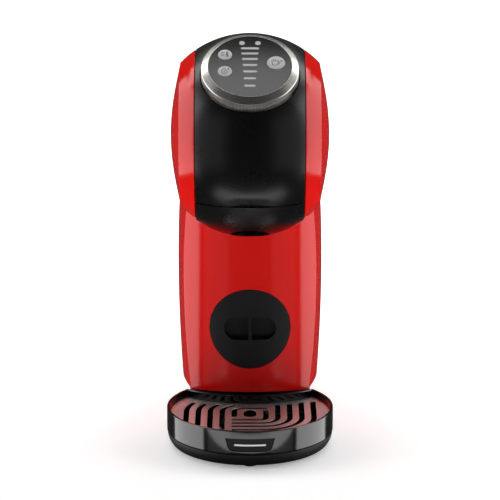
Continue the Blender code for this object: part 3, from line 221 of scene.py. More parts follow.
def made(name, bm, material, body, slot, stands_for=(), wall=0.0, edge=0.0, limit=32.0, segments=2):
    """A finished piece: an inward wall and rounded edges where asked for, riding on a body."""
    piece = placed(name, bm)
    piece.data.materials.append(material)
    piece.data.shade_smooth()
    if wall:
        shell = piece.modifiers.new("wall", "SOLIDIFY")
        shell.thickness, shell.offset, shell.use_even_offset = wall, -1, True
    if edge:
        rounding = piece.modifiers.new("edge", "BEVEL")
        rounding.width, rounding.segments = edge, segments
        rounding.limit_method, rounding.angle_limit = "ANGLE", math.radians(limit)
        rounding.harden_normals = True
    weighted = piece.modifiers.new("shading", "WEIGHTED_NORMAL")
    weighted.keep_sharp = True
    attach(piece, body)
    if stands_for:
        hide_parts(*stands_for)
    return piece


def gloss_abs(name, base, lighter, roughness, ior=1.54):
    """Glossy injection-moulded ABS: even colour with a hint of flow, and the faint waviness of a polished tool.

    It mirrors the softboxes as clean bands that soften a little where the gloss drifts.
    """
    material = blank_material(name)
    spot = add(material, "ShaderNodeTexCoord", {}).outputs["Object"]
    flow = add(material, "ShaderNodeTexNoise", {"Vector": spot, "Scale": 22.0, "Detail": 3.0})
    colour = add(material, "ShaderNodeMix", {
        0: flow.outputs["Fac"], 6: linear(base), 7: linear(lighter),
    }, data_type="RGBA")
    smear = add(material, "ShaderNodeTexNoise", {"Vector": spot, "Scale": 60.0, "Detail": 4.0})
    rough = add(material, "ShaderNodeMapRange", {0: smear.outputs["Fac"], 3: roughness, 4: roughness + 0.035})
    ripple = add(material, "ShaderNodeTexNoise", {"Vector": spot, "Scale": 300.0, "Detail": 1.0})
    skin = add(material, "ShaderNodeBump", {
        "Height": ripple.outputs["Fac"], "Strength": 0.02, "Distance": 0.2 * MM,
    })
    shader = add(material, "ShaderNodeBsdfPrincipled", {
        "Base Color": colour.outputs[2], "Roughness": rough.outputs[0], "IOR": ior, "Normal": skin.outputs[0],
    })
    return as_surface(material, shader)


red_abs = gloss_abs("moulded_red_abs", "#DF0B03", "#E40D04", 0.12, 1.49)
dome_rows = [math.radians(90) * i / 26 for i in range(1, 27)]
rim_edge = drum_radius(CREASE_HALF)
cover_profile = [(drum_radius(x), x) for x in spaced(BAND_HALF + 0.4 * MM, CREASE_HALF, 14)]
cover_profile += [
    (rim_edge * math.cos(row), CREASE_HALF + DOME_RISE * math.sin(row) ** 2.4) for row in dome_rows[:-1]
]
cover_profile.append((0, CREASE_HALF + DOME_RISE))
for side, name in ((-1, "head_side_left"), (1, "head_side_right")):
    bm = turned(cover_profile, HEAD, side * RIGHT, FRONT)
    outwards(bm, HEAD)
    made(
        name + "_cover", bm, red_abs, "housing", "red_gloss", [name],
        wall=WALL, edge=0.55 * MM, limit=24, segments=3,
    )

# --- Visor ---
# The black band over the head, which lifts to let a pod in. One gloss ABS moulding, crowned like the covers,
# with a round opening for the dial and a shallow scoop for a fingertip in the middle of its lower lip.
LIP_Z = 183.6 * MM
SCOOP_HALF, SCOOP_HIGH, SCOOP_DEEP = 13 * MM, 4.6 * MM, 1.5 * MM
DIAL_AXIS = Vector((0, -math.cos(math.radians(54)), math.sin(math.radians(54))))
DIAL_UP = Vector((0, math.sin(math.radians(54)), math.cos(math.radians(54))))
DIAL = HEAD + 70.3 * MM * DIAL_AXIS - 2.75 * MM * DIAL_UP


def worked(bm, *steps):
    """bm with modifiers applied in turn, each given as its type and settings; cutters are used up."""
    holder = placed("work", bm)
    cutters = []
    for kind, settings in steps:
        modifier = holder.modifiers.new("step", kind)
        for key, value in settings.items():
            if isinstance(value, bmesh.types.BMesh):
                value = placed("cutter", value)
                cutters.append(value)
            setattr(modifier, key, value)
    bpy.context.view_layer.update()
    result = bpy.data.meshes.new_from_object(holder.evaluated_get(bpy.context.evaluated_depsgraph_get()))
    bm = bmesh.new()
    bm.from_mesh(result)
    for used in (holder, *cutters):
        bpy.data.objects.remove(used)
    bpy.data.meshes.remove(result)
    return bm


def cutting(tool, operation="DIFFERENCE"):
    """A step for worked() that cuts with a tool, or keeps or adds what the operation says."""
    return "BOOLEAN", {"operation": operation, "solver": "EXACT", "object": tool}


def rod(start, end, radius, steps=96, end_radius=None):
    """A round bar, or a cone, from one point to another."""
    start, end = Vector(start), Vector(end)
    turn = (end - start).to_track_quat("Z", "Y").to_matrix().to_4x4()
    bm = bmesh.new()
    bmesh.ops.create_cone(
        bm, cap_ends=True, segments=steps,
        radius1=radius, radius2=radius if end_radius is None else end_radius,
        depth=(end - start).length, matrix=Matrix.Translation((start + end) / 2) @ turn,
    )
    return bm


satin_black_abs = gloss_abs("moulded_satin_black_abs", "#070708", "#0A0A0B", 0.26)
lip_start = math.radians(-44)
towards = Vector((0, -math.cos(lip_start), math.sin(lip_start)))
band_profile = [(drum_radius(x), x) for x in spaced(-BAND_HALF + 0.3 * MM, BAND_HALF - 0.3 * MM, 45)]
bm = turned(band_profile, HEAD, -RIGHT, towards, 150, 212.0)
bmesh.ops.bisect_plane(
    bm, geom=bm.verts[:] + bm.edges[:] + bm.faces[:],
    plane_co=(0, 0, LIP_Z), plane_no=(0, 0, -1), clear_outer=True,
)
for v in bm.verts:
    if v.co.y < HEAD.y:
        reach = math.exp(-((v.co.x / SCOOP_HALF) ** 4) - ((v.co.z - LIP_Z) / SCOOP_HIGH) ** 2)
        v.co += (HEAD - v.co).normalized() * SCOOP_DEEP * reach
outwards(bm, HEAD)
opening = rod(DIAL - 40 * MM * DIAL_AXIS, DIAL + 30 * MM * DIAL_AXIS, 34.5 * MM, 128)
bm = worked(bm, ("SOLIDIFY", {"thickness": WALL, "offset": -1}), cutting(opening))
made("visor", bm, satin_black_abs, "visor", "black_gloss", ["visor_shell"], edge=0.45 * MM, limit=40)

# --- Dial seat, selector ring ---
# The ring is turned steel: a cone-shaped face with a fine circular grain and a side that is knurled for grip.
# It turns in a matt black moulded seat, whose spark-eroded texture also covers the frame parts of the machine.
def spark_black(name, base, roughness=0.5):
    """Black polycarbonate from a spark-eroded tool.

    A fine even grain, drawn at about 0.4 mm so that it shows, breaks up highlights and keeps the black soft.
    """
    material = blank_material(name)
    spot = add(material, "ShaderNodeTexCoord", {}).outputs["Object"]
    grain = add(material, "ShaderNodeTexNoise", {"Vector": spot, "Scale": 2500.0, "Detail": 1.0})
    drift = add(material, "ShaderNodeTexNoise", {"Vector": spot, "Scale": 35.0, "Detail": 2.0})
    colour = add(material, "ShaderNodeMix", {
        0: drift.outputs["Fac"], 6: linear(base), 7: linear("#0D0D0E"),
    }, data_type="RGBA")
    rough = add(material, "ShaderNodeMapRange", {
        0: grain.outputs["Fac"], 3: roughness - 0.05, 4: roughness + 0.06,
    })
    skin = add(material, "ShaderNodeBump", {
        "Height": grain.outputs["Fac"], "Strength": 0.12, "Distance": 0.1 * MM,
    })
    shader = add(material, "ShaderNodeBsdfPrincipled", {
        "Base Color": colour.outputs[2], "Roughness": rough.outputs[0], "IOR": 1.46, "Normal": skin.outputs[0],
    })
    return as_surface(material, shader)


def refinish(node, material):
    """Gives a node that keeps its own shape its real finish."""
    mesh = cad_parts[node].data
    mesh.materials.clear()
    mesh.materials.append(material)


black_texture = spark_black("spark_textured_black_polycarbonate", "#080809", 0.58)
refinish("dial_seat", black_texture)

# Turned stainless steel: lathe lines round the dial's axis stretch highlights across the ring's face.
turned_steel = blank_material("turned_stainless_steel")
spot = add(turned_steel, "ShaderNodeTexCoord", {}).outputs["Object"]
lean = DIAL_AXIS.to_track_quat("Z", "Y").to_matrix().inverted().to_euler()
on_ring = add(turned_steel, "ShaderNodeVectorMath", {0: spot, 1: DIAL}, operation="SUBTRACT")
flat = add(turned_steel, "ShaderNodeVectorRotate", {
    "Vector": on_ring.outputs[0], "Rotation": lean,
}, rotation_type="EULER_XYZ")
flatter = add(turned_steel, "ShaderNodeVectorMath", {0: flat.outputs[0], 1: (1, 1, 0)}, operation="MULTIPLY")
radius = add(turned_steel, "ShaderNodeVectorMath", {0: flatter.outputs[0]}, operation="LENGTH")
grain = add(turned_steel, "ShaderNodeTexNoise", {
    "W": radius.outputs["Value"], "Scale": 5200.0, "Detail": 2.0,
}, noise_dimensions="1D")
rough = add(turned_steel, "ShaderNodeMapRange", {0: grain.outputs["Fac"], 3: 0.2, 4: 0.34})
lathe = add(turned_steel, "ShaderNodeBump", {
    "Height": grain.outputs["Fac"], "Strength": 0.1, "Distance": 0.05 * MM,
})
as_surface(turned_steel, add(turned_steel, "ShaderNodeBsdfPrincipled", {
    "Base Color": linear("#D2CEC8"), "Metallic": 1.0, "Roughness": rough.outputs[0], "Normal": lathe.outputs[0],
}))

KNURL_STEPS = 432  # around the ring; every second one is cut in
ring_profile = [(in_r * MM, z * MM) for in_r, z in (
    (27.8, -10.4), (27.8, -2.7), (28.7, -2.7), (28.7, 0.1), (28.95, 0.3), (33.2, -2.4), (33.6, -2.8),
    (33.6, -3.3), (33.6, -3.6), (33.6, -9.7), (33.6, -10.0), (33.3, -10.4), (27.8, -10.4),
)]
bm = turned(ring_profile, DIAL, DIAL_AXIS, RIGHT, KNURL_STEPS)
for v in bm.verts:
    arm = v.co - DIAL
    height = arm.dot(DIAL_AXIS)
    arm -= height * DIAL_AXIS
    step = round(math.degrees(math.atan2(arm.dot(DIAL_UP), arm.x)) * KNURL_STEPS / 360)
    if arm.length > 33.5 * MM and -9.8 * MM < height < -3.5 * MM and step % 2:
        v.co -= arm.normalized() * 0.4 * MM
made(
    "selector_ring_knurled", bm, turned_steel, "selector", "steel", ["selector_ring"], edge=0.12 * MM, limit=50,
)

# --- Control panel ---
# A smoked acrylic disc over the display, polished on its face, with laser-cut holes for the keys and for the
# light guide's bars and lamps.
def smoked(name, darker, lighter, scale, detail, smoothest, roughest, ior, transmission=0.0):
    """A polished tinted plastic whose tint and gloss both drift a little."""
    material = blank_material(name)
    spot = add(material, "ShaderNodeTexCoord", {}).outputs["Object"]
    haze = add(material, "ShaderNodeTexNoise", {"Vector": spot, "Scale": scale, "Detail": detail})
    rough = add(material, "ShaderNodeMapRange", {0: haze.outputs["Fac"], 3: smoothest, 4: roughest})
    tint = add(material, "ShaderNodeMix", {
        0: haze.outputs["Fac"], 6: linear(darker), 7: linear(lighter),
    }, data_type="RGBA")
    return as_surface(material, add(material, "ShaderNodeBsdfPrincipled", {
        "Base Color": tint.outputs[2], "Roughness": rough.outputs[0], "IOR": ior,
        "Transmission Weight": transmission,
    }))


# Smoked acrylic: nearly black, with a mirror finish that a faint haze of handling takes the edge off.
smoked_acrylic = smoked("smoked_acrylic", "#0B0B0C", "#0F0F10", 90.0, 3.0, 0.06, 0.1, 1.7)
PANEL_AXES = Matrix((RIGHT, DIAL_UP, DIAL_AXIS)).transposed().to_4x4()
PANEL_AXES.translation = DIAL
KEYS = {
    "temperature_key": (-17.1 * MM, 11.0 * MM, 4.9 * MM),
    "boost_key": (-17.1 * MM, -4.8 * MM, 4.9 * MM),
    "start_key": (17.8 * MM, 3.3 * MM, 6.2 * MM),
}
BARS = [((17.3 - 4.75 * i - 0.2 * i * i) * MM, (6.3 - 0.41 * i) * MM) for i in range(7)]
BAR_RADIUS = 0.95 * MM
LAMPS = [(side * 5.5 * MM, 22.4 * MM, 1.9 * MM) for side in (-1, 1)]


def on_panel(x, up, height=0.0):
    """A point of the panel, at a distance right of and above its middle."""
    return DIAL + Vector((x, 0, 0)) + up * DIAL_UP + height * DIAL_AXIS


def add_pill(bm, start, end, radius, low, high, axes, steps=24):
    """Adds a round-ended bar between two points of a plane, from one height to another."""
    run = Vector((end[0] - start[0], end[1] - start[1], 0))
    ring = bmesh.ops.create_circle(bm, cap_ends=True, segments=steps, radius=radius)["verts"]
    for v in ring:
        v.co.x += run.length / 2 if v.co.x > 1e-9 else -run.length / 2
    face = ring[0].link_faces[0]
    raised = bmesh.ops.extrude_face_region(bm, geom=[face], use_keep_orig=True)
    top = [v for v in raised["geom"] if isinstance(v, bmesh.types.BMVert)]
    bmesh.ops.translate(bm, vec=(0, 0, high - low), verts=top)
    turn = Matrix.Rotation(math.atan2(run.y, run.x), 4, "Z")
    middle = Vector(((start[0] + end[0]) / 2, (start[1] + end[1]) / 2, low))
    bmesh.ops.transform(bm, matrix=axes @ Matrix.Translation(middle) @ turn, verts=ring + top)


def pills(runs, radius, low, high, axes):
    """Separate round-ended bars of one width, closed and facing out."""
    bm = bmesh.new()
    for start, end in runs:
        add_pill(bm, start, end, radius, low, high, axes)
    bmesh.ops.recalc_face_normals(bm, faces=bm.faces)
    return bm


bar_runs = [((-half + BAR_RADIUS, up), (half - BAR_RADIUS, up)) for up, half in BARS]
holes = [cutting(pills(bar_runs, BAR_RADIUS + 0.12 * MM, -6 * MM, 5 * MM, PANEL_AXES))]
for x, up, radius in [*KEYS.values(), *LAMPS]:
    holes.append(cutting(rod(on_panel(x, up, -6 * MM), on_panel(x, up, 5 * MM), radius + 0.15 * MM, 48)))
panel_profile = [(0, -2.4 * MM), (28.4 * MM, -2.4 * MM), (28.4 * MM, 0), (0, 0)]
bm = worked(turned(panel_profile, DIAL, DIAL_AXIS, RIGHT, 144), *holes)
made(
    "control_panel_disc", bm, smoked_acrylic, "visor", "black_gloss", ["control_panel"], edge=0.15 * MM, limit=60,
)

# --- Light guide ---
# One diffusing acrylic moulding behind the panel. Its seven bars show the drink's size, and its two round lamps
# ask for water and descaling; bars and lamps stand up through the panel to just below its face.
def plain_moulding(
    name, darker, lighter, scale, detail, roughness, ior, relief=0.0, depth=0.1 * MM, subsurface=0.0,
):
    """A moulding whose colour drifts between two tones, with a fine relief where asked for."""
    material = blank_material(name)
    spot = add(material, "ShaderNodeTexCoord", {}).outputs["Object"]
    cloud = add(material, "ShaderNodeTexNoise", {"Vector": spot, "Scale": scale, "Detail": detail})
    tone = add(material, "ShaderNodeMix", {
        0: cloud.outputs["Fac"], 6: linear(darker), 7: linear(lighter),
    }, data_type="RGBA")
    shader = add(material, "ShaderNodeBsdfPrincipled", {
        "Base Color": tone.outputs[2], "Roughness": roughness, "IOR": ior, "Subsurface Weight": subsurface,
    })
    if relief:
        skin = add(material, "ShaderNodeBump", {
            "Height": cloud.outputs["Fac"], "Strength": relief, "Distance": depth,
        })
        material.node_tree.links.new(skin.outputs[0], shader.inputs["Normal"])
    return as_surface(material, shader)


# Opal acrylic: a milky, slightly cloudy grey that looks lit through rather than painted.
diffuser = plain_moulding("opal_acrylic", "#D4D4D4", "#DCDCDC", 500.0, 2.0, 0.4, 1.49)
bm = pills(bar_runs, BAR_RADIUS, -4.6 * MM, 0.04 * MM, PANEL_AXES)
for x, up, radius in LAMPS:
    add_pill(bm, (x, up), (x, up), radius, -4.6 * MM, 0.04 * MM, PANEL_AXES, 40)
lamp_backing = [(0, -5.2 * MM), (7.6 * MM, -5.2 * MM), (7.6 * MM, -3.7 * MM), (0, -3.7 * MM)]
backing = worked(
    turned(lamp_backing, on_panel(0, 20 * MM), DIAL_AXIS, RIGHT, 64),
    cutting(pills([((0, -18 * MM), (0, 20 * MM))], 6.6 * MM, -5.15 * MM, -3.75 * MM, PANEL_AXES), "UNION"),
)
guide_mesh = bpy.data.meshes.new("guide")
backing.to_mesh(guide_mesh)
backing.free()
bm.from_mesh(guide_mesh)
bmesh.ops.recalc_face_normals(bm, faces=bm.faces)
made("level_light_guide", bm, diffuser, "visor", "light_grey", ["light_guide"], edge=0.12 * MM, limit=50)

# --- Keys ---
# Three satin polycarbonate caps with a printed sign each: a thermometer, a drop with a plus, and a cup.
# The print is a layer of dark ink on the cap.

# Satin polycarbonate: a light grey whose fine moulded grain spreads the highlight over the cap.
cap_plastic = plain_moulding(
    "satin_grey_polycarbonate", "#D2D2D2", "#DADADA", 700.0, 2.0, 0.42, 1.58, relief=0.05, depth=0.05 * MM,
)
# Screen-printed ink: flat and dull against the satin cap, a little uneven in density.
ink = plain_moulding("screen_printed_ink", "#2A2A2B", "#343435", 1500.0, 2.0, 0.6, 1.5)


def arc(centre, rx, ry, first, last, count):
    """Points along an ellipse from one angle to another, in degrees."""
    return [
        (centre[0] + rx * math.cos(math.radians(a)), centre[1] + ry * math.sin(math.radians(a)))
        for a in spaced(first, last, count)
    ]


def arc_runs(x, y, radius, first, last, count):
    """Short runs along an arc, for drawing a sign."""
    points = arc((x, y), radius, radius, first, last, count + 1)
    return list(zip(points, points[1:]))


SIGNS = {  # runs in millimetres from the middle of the cap
    "temperature_key": [
        ((1.0, 0.1), (1.0, 2.3)), ((1.9, -0.4), (1.9, 2.3)), *arc_runs(1.45, 2.3, 0.45, 0, 180, 5),
        *arc_runs(1.45, -1.1, 0.9, -240, 60, 12),
        ((1.45, -1.1), (1.45, 0.9)), ((-2.6, 1.7), (-1.6, 2.1)), ((-1.6, 2.1), (-0.5, 1.7)),
        ((-2.6, 0.2), (-1.6, 0.6)), ((-1.6, 0.6), (-0.5, 0.2)),
        ((-2.6, -1.3), (-1.6, -0.9)), ((-1.6, -0.9), (-0.5, -1.3)),
    ],
    "boost_key": [
        *arc_runs(-0.4, -0.6, 1.9, -215, 35, 14), ((-1.95, 0.5), (-0.4, 2.9)), ((1.15, 0.5), (-0.4, 2.9)),
        ((-0.4, -1.6), (-0.4, 0.6)), ((1.7, 1.9), (3.1, 1.9)), ((2.4, 1.2), (2.4, 2.6)),
    ],
    "start_key": [
        ((-3.0, 1.4), (-2.2, -2.5)), ((-2.2, -2.5), (0.9, -2.5)),
        ((0.9, -2.5), (1.7, 1.4)), ((-3.0, 1.4), (1.7, 1.4)),
        *arc_runs(1.5, -0.3, 1.15, -80, 80, 8), ((-1.9, 2.2), (-1.5, 3.0)), ((-0.6, 2.2), (-0.2, 3.0)),
        ((3.0, 1.8), (3.9, 1.0)), ((3.9, 1.0), (3.9, 2.3)),
    ],
}
for name, (x, up, radius) in KEYS.items():
    body = "key_" + name.split("_")[0]
    cap_profile = [
        (0, 0.38 * MM), (radius * 0.5, 0.36 * MM), (radius - 0.45 * MM, 0.3 * MM),
        (radius - 0.12 * MM, 0.14 * MM), (radius, -0.15 * MM), (radius, -3.6 * MM),
        (radius + 0.3 * MM, -3.6 * MM), (radius + 0.3 * MM, -4.8 * MM), (0, -4.8 * MM),
    ]
    bm = turned(cap_profile, on_panel(x, up), DIAL_AXIS, RIGHT, 72)
    made(name + "_cap", bm, cap_plastic, body, "light_grey", [name], edge=0.08 * MM, limit=50)
    axes = PANEL_AXES @ Matrix.Translation((x, up, 0))
    runs = [((a * MM, b * MM), (c * MM, d * MM)) for (a, b), (c, d) in SIGNS[name]]
    bm = pills(runs, 0.2 * MM, 0.33 * MM, 0.41 * MM, axes)
    made(name + "_sign", bm, ink, body, "light_grey")

# --- Inside the visor ---
# Moulded frame and arms that join the shell to its hinge, and the display's circuit board: woven glass laminate
# under green solder mask, whose tracks show as a faint relief in a lighter green.
board = blank_material("solder_masked_glass_laminate")
spot = add(board, "ShaderNodeTexCoord", {}).outputs["Object"]
tracks = add(board, "ShaderNodeTexBrick", {
    "Vector": spot,
    "Color1": linear("#0B4A22"), "Color2": linear("#0E5A2A"), "Mortar": linear("#1B7A3C"),
    "Scale": 160.0, "Mortar Size": 0.03, "Brick Width": 0.9, "Row Height": 0.3,
})
relief = add(board, "ShaderNodeBump", {
    "Height": tracks.outputs["Fac"], "Strength": 0.2, "Distance": 0.05 * MM,
})
as_surface(board, add(board, "ShaderNodeBsdfPrincipled", {
    "Base Color": tracks.outputs["Color"], "Roughness": 0.32, "IOR": 1.55, "Normal": relief.outputs[0],
}))
refinish("visor_frame", black_texture)
refinish("display_board", board)
refinish("control_board", board)

# --- Hinge, head frame and barrel ---
# A ground steel pin through both cheeks of the frame carries the visor. Behind it a barrel-shaped textured
# cover is fixed to the head, and the visor's tail rolls over it.
def plain_metal(name, colour, scale, detail, smoothest, roughest, relief, depth):
    """A metal whose pattern varies its roughness and stands up as a fine relief."""
    material = blank_material(name)
    spot = add(material, "ShaderNodeTexCoord", {}).outputs["Object"]
    fine = add(material, "ShaderNodeTexNoise", {"Vector": spot, "Scale": scale, "Detail": detail})
    rough = add(material, "ShaderNodeMapRange", {0: fine.outputs["Fac"], 3: smoothest, 4: roughest})
    skin = add(material, "ShaderNodeBump", {
        "Height": fine.outputs["Fac"], "Strength": relief, "Distance": depth,
    })
    return as_surface(material, add(material, "ShaderNodeBsdfPrincipled", {
        "Base Color": linear(colour), "Metallic": 1.0, "Roughness": rough.outputs[0], "Normal": skin.outputs[0],
    }))


def block(low, high):
    """A box between two opposite corners."""
    bm = bmesh.new()
    bmesh.ops.create_cube(bm, size=1)
    bmesh.ops.scale(bm, vec=Vector(high) - Vector(low), verts=bm.verts)
    bmesh.ops.translate(bm, vec=(Vector(low) + Vector(high)) / 2, verts=bm.verts)
    return bm


# Ground stainless steel: fine scratches in all directions give it a soft, slightly uneven shine.
ground_steel = plain_metal("ground_stainless_steel", "#C9C8C6", 900.0, 3.0, 0.22, 0.38, 0.06, 0.05 * MM)
refinish("hinge_pin", ground_steel)
refinish("head_frame", black_texture)
HINGE = Vector((0, -0.023, 0.222))
barrel_xs = spaced(-32.8 * MM, 32.8 * MM, 41)
barrel_profile = [(26.2 * MM - crown_drop(x), x) for x in barrel_xs]
barrel_profile += [(23.7 * MM - crown_drop(x), x) for x in reversed(barrel_xs)]
barrel_profile.append(barrel_profile[0])
kept_part = block((-40 * MM, -12 * MM, 200.4 * MM), (40 * MM, 20 * MM, 240 * MM))
bm = worked(turned(barrel_profile, HINGE, RIGHT, FRONT, 120), cutting(kept_part, "INTERSECT"))
made("hinge_barrel", bm, black_texture, "housing", "black_matt", ["head_back"], edge=0.3 * MM, limit=45)

# --- Injector ---
# Textured black plate that presses on the pod, a ground steel needle and a translucent silicone ring.

# Silicone: milky and a little see-through at its edges, with a soft greasy sheen.
silicone = plain_moulding(
    "translucent_silicone", "#C9C9C4", "#D6D6D2", 400.0, 2.0, 0.35, 1.41, subsurface=0.15,
)
refinish("injector_plate", black_texture)
refinish("injector_needle", ground_steel)
refinish("injector_seal", silicone)

# --- Pod holder ---
# Gloss ABS drawer under the visor. Its front carries on the drum of the head, its top holds the pod in a lined
# seat and a funnel leads to the outlet underneath; a groove in each flank runs on the head's rails.
POD = Vector((0, -0.088, 0.1828))
DRAWER_DEEPER = 1.05  # the chin hangs a little lower than the drum
holder_xs = spaced(-BAND_HALF + 0.3 * MM, BAND_HALF - 0.3 * MM, 45)
drum_profile = [(0, holder_xs[0]), *[(drum_radius(x), x) for x in holder_xs], (0, holder_xs[-1])]
drawer = turned(drum_profile, HEAD, RIGHT, FRONT, 160)
for v in drawer.verts:
    if v.co.z < POD.z:
        v.co.z = POD.z + (v.co.z - POD.z) * DRAWER_DEEPER
steps = [
    cutting(block((-0.05, -0.2, 0.12), (0.05, -0.054, POD.z)), "INTERSECT"),
    cutting(rod(POD - 12.3 * MM * UP, POD + 20 * MM * UP, 26.8 * MM)),
    cutting(rod((0, POD.y, 0.148), POD - 12 * MM * UP, 9 * MM, end_radius=22.5 * MM)),
    *[
        cutting(block((low * MM, -0.099, 0.1761), (high * MM, -0.04, 0.1794)))
        for low, high in ((-45, -34.9), (34.9, 45))
    ],
]
bm = worked(drawer, *steps)
made("pod_drawer", bm, satin_black_abs, "holder", "black_gloss", ["pod_holder"], edge=0.5 * MM, limit=40)
seat_profile = [(r * MM, z * MM) for r, z in (
    (24.6, 170.8), (26.5, 170.8), (26.5, 182.4), (26.2, 182.6),
    (25.6, 182.6), (24.9, 181.6), (24.6, 180.6), (24.6, 170.8),
)]
bm = turned(seat_profile, Vector((0, POD.y, 0)), UP, RIGHT, 96)
made("pod_seat_liner", bm, cap_plastic, "holder", "light_grey", ["pod_seat_ring"], edge=0.2 * MM, limit=40)

# --- Column ---
# Three gloss red ABS covers: a crowned front that turns back over a crease on each side, and two bellied sides
# that run back to the tank. They clip to the inner frame; the front is cut away round mount disc and head.
COLUMN_FRONT, COLUMN_LOW, COLUMN_TOP, COLUMN_BACK = -50 * MM, 28.7 * MM, 206 * MM, 62 * MM
DISC_Z, DISC_RADIUS = 75.6 * MM, 29.2 * MM


def crease_half(z):
    """Half width of the column's front, at the crease."""
    return 48.4 * MM - 0.8 * (min(z, 186 * MM) - 108 * MM) ** 2


def front_surface(x, z):
    """Distance back of the column's front: crowned across, slightly hollow from top to bottom."""
    share = min(max((z - COLUMN_LOW) / (130 * MM), 0), 1)
    return COLUMN_FRONT + 3 * MM * math.sin(math.pi * share) + crown_drop(x)


def side_surface(side, y, z):
    """Point on the column's side: bellied behind the crease, narrower at the back."""
    start, widest, back = crease_half(z), 53.4 * MM - 0.45 * (z - 110 * MM) ** 2, 46 * MM
    front = front_surface(start, z)
    share = (y - front) / (COLUMN_BACK - front)
    if share < 0.5:
        x = start + (widest - start) * math.sin(math.pi * share)
    else:
        x = widest + (back - widest) * (2 * share - 1) ** 2
    return Vector((side * x, y, z))


def head_clearance():
    """Cutters that clear the head from the column's covers."""
    xs = spaced(-CREASE_HALF - 1 * MM, CREASE_HALF + 1 * MM, 33)
    profile = [(0, xs[0]), *[(drum_radius(x) + 0.9 * MM, x) for x in xs], (0, xs[-1])]
    ends = rod(HEAD - 70 * MM * RIGHT, HEAD + 70 * MM * RIGHT, rim_edge + 1.2 * MM, 144)
    return [cutting(turned(profile, HEAD, RIGHT, FRONT, 144)), cutting(ends)]


ACROSS, RETURN, ROWS = 60, 6, 90
bm = sheet(ACROSS + 2 * RETURN, ROWS)
for v in bm.verts:
    at = round((v.co.x + 1) / 2 * (ACROSS + 2 * RETURN)) - RETURN
    share = 2 * min(max(at, 0), ACROSS) / ACROSS - 1
    low = COLUMN_LOW - 1.8 * MM * share**2
    z = low + (192 * MM - low) * (v.co.y + 1) / 2
    beyond = max(-at, at - ACROSS, 0) / RETURN
    x = share * crease_half(z)
    v.co = (x, front_surface(x, z), z)
    if beyond:
        v.co = side_surface(share, v.co.y + 4 * MM * beyond, z)
bmesh.ops.recalc_face_normals(bm, faces=bm.faces)
outwards(bm, (0, 30 * MM, 110 * MM))
hole = rod((0, -80 * MM, DISC_Z), (0, 0, DISC_Z), DISC_RADIUS + 0.3 * MM, 144)
bm = worked(bm, ("SOLIDIFY", {"thickness": WALL, "offset": -1}), *head_clearance(), cutting(hole))
made(
    "column_front_cover", bm, red_abs, "housing", "red_gloss", ["column_front"],
    edge=0.5 * MM, limit=28, segments=3,
)
for side, name in ((-1, "column_side_left"), (1, "column_side_right")):
    bm = sheet(36, ROWS)
    for v in bm.verts:
        share, level = (v.co.x + 1) / 2, (v.co.y + 1) / 2
        z = COLUMN_LOW - 1.8 * MM + (COLUMN_TOP - COLUMN_LOW + 1.8 * MM) * level
        start = front_surface(crease_half(z), z) + 4.3 * MM
        v.co = side_surface(side, start + (COLUMN_BACK - start) * share**1.3, z)
    bmesh.ops.recalc_face_normals(bm, faces=bm.faces)
    outwards(bm, (0, 20 * MM, 110 * MM))
    bm = worked(bm, ("SOLIDIFY", {"thickness": WALL, "offset": -1}), *head_clearance())
    made(name + "_cover", bm, red_abs, "housing", "red_gloss", [name], edge=0.5 * MM, limit=40, segments=3)

# --- Column back and cap ---
# Textured black walls behind and on top of the column. The cap has a row of vent slots over the heater.
refinish("column_back", black_texture)
vents = [
    cutting(pills([((-20 * MM, y), (20 * MM, y))], 1.2 * MM, 190 * MM, 220 * MM, Matrix()))
    for y in spaced(0.022, 0.046, 5)
]
bm = worked(
    block((-43 * MM, 5 * MM, 202 * MM), (43 * MM, 62.3 * MM, 205.6 * MM)),
    cutting(block((-40.4 * MM, -13 * MM, 202.1 * MM), (40.4 * MM, 6 * MM, 205.5 * MM)), "UNION"),
    *vents,
)
made("column_cap_vented", bm, black_texture, "housing", "black_matt", ["column_cap"], edge=0.5 * MM, limit=40)

# --- Mount disc ---
# Round textured mount let into the column, flush with its crown. The tray's tongue plugs into its round-ended
# socket, which a rib divides.
DISC_AXES = Matrix(((1, 0, 0, 0), (0, 0, -1, 0), (0, 1, 0, DISC_Z), (0, 0, 0, 1)))
bm = sheet(64, 24, 32 * MM)
for v in bm.verts:
    x, z = v.co.x, DISC_Z + v.co.y
    v.co = (x, front_surface(x, z), z)
outwards(bm, (0, 30 * MM, DISC_Z))
floor_at = -front_surface(0, DISC_Z) - 6.2 * MM
socket = pills([((-10.4 * MM, 0), (10.4 * MM, 0))], 8.5 * MM, floor_at, 80 * MM, DISC_AXES)
socket = worked(socket, cutting(block((-1.2 * MM, -0.07, DISC_Z - 0.02), (1.2 * MM, 0, DISC_Z + 0.02))))
bm = worked(
    bm, ("SOLIDIFY", {"thickness": 9 * MM, "offset": -1}),
    cutting(rod((0, -0.08, DISC_Z), (0, 0, DISC_Z), DISC_RADIUS, 144), "INTERSECT"), cutting(socket),
)
made("mount_disc", bm, black_texture, "housing", "black_matt", ["tray_mount_disc"], edge=0.4 * MM, limit=40)

# --- Base ---
# Black skirt under the column and tank, with a screwed bottom plate, rubber feet and a rubber cord bush.
TANK_Y = 92 * MM


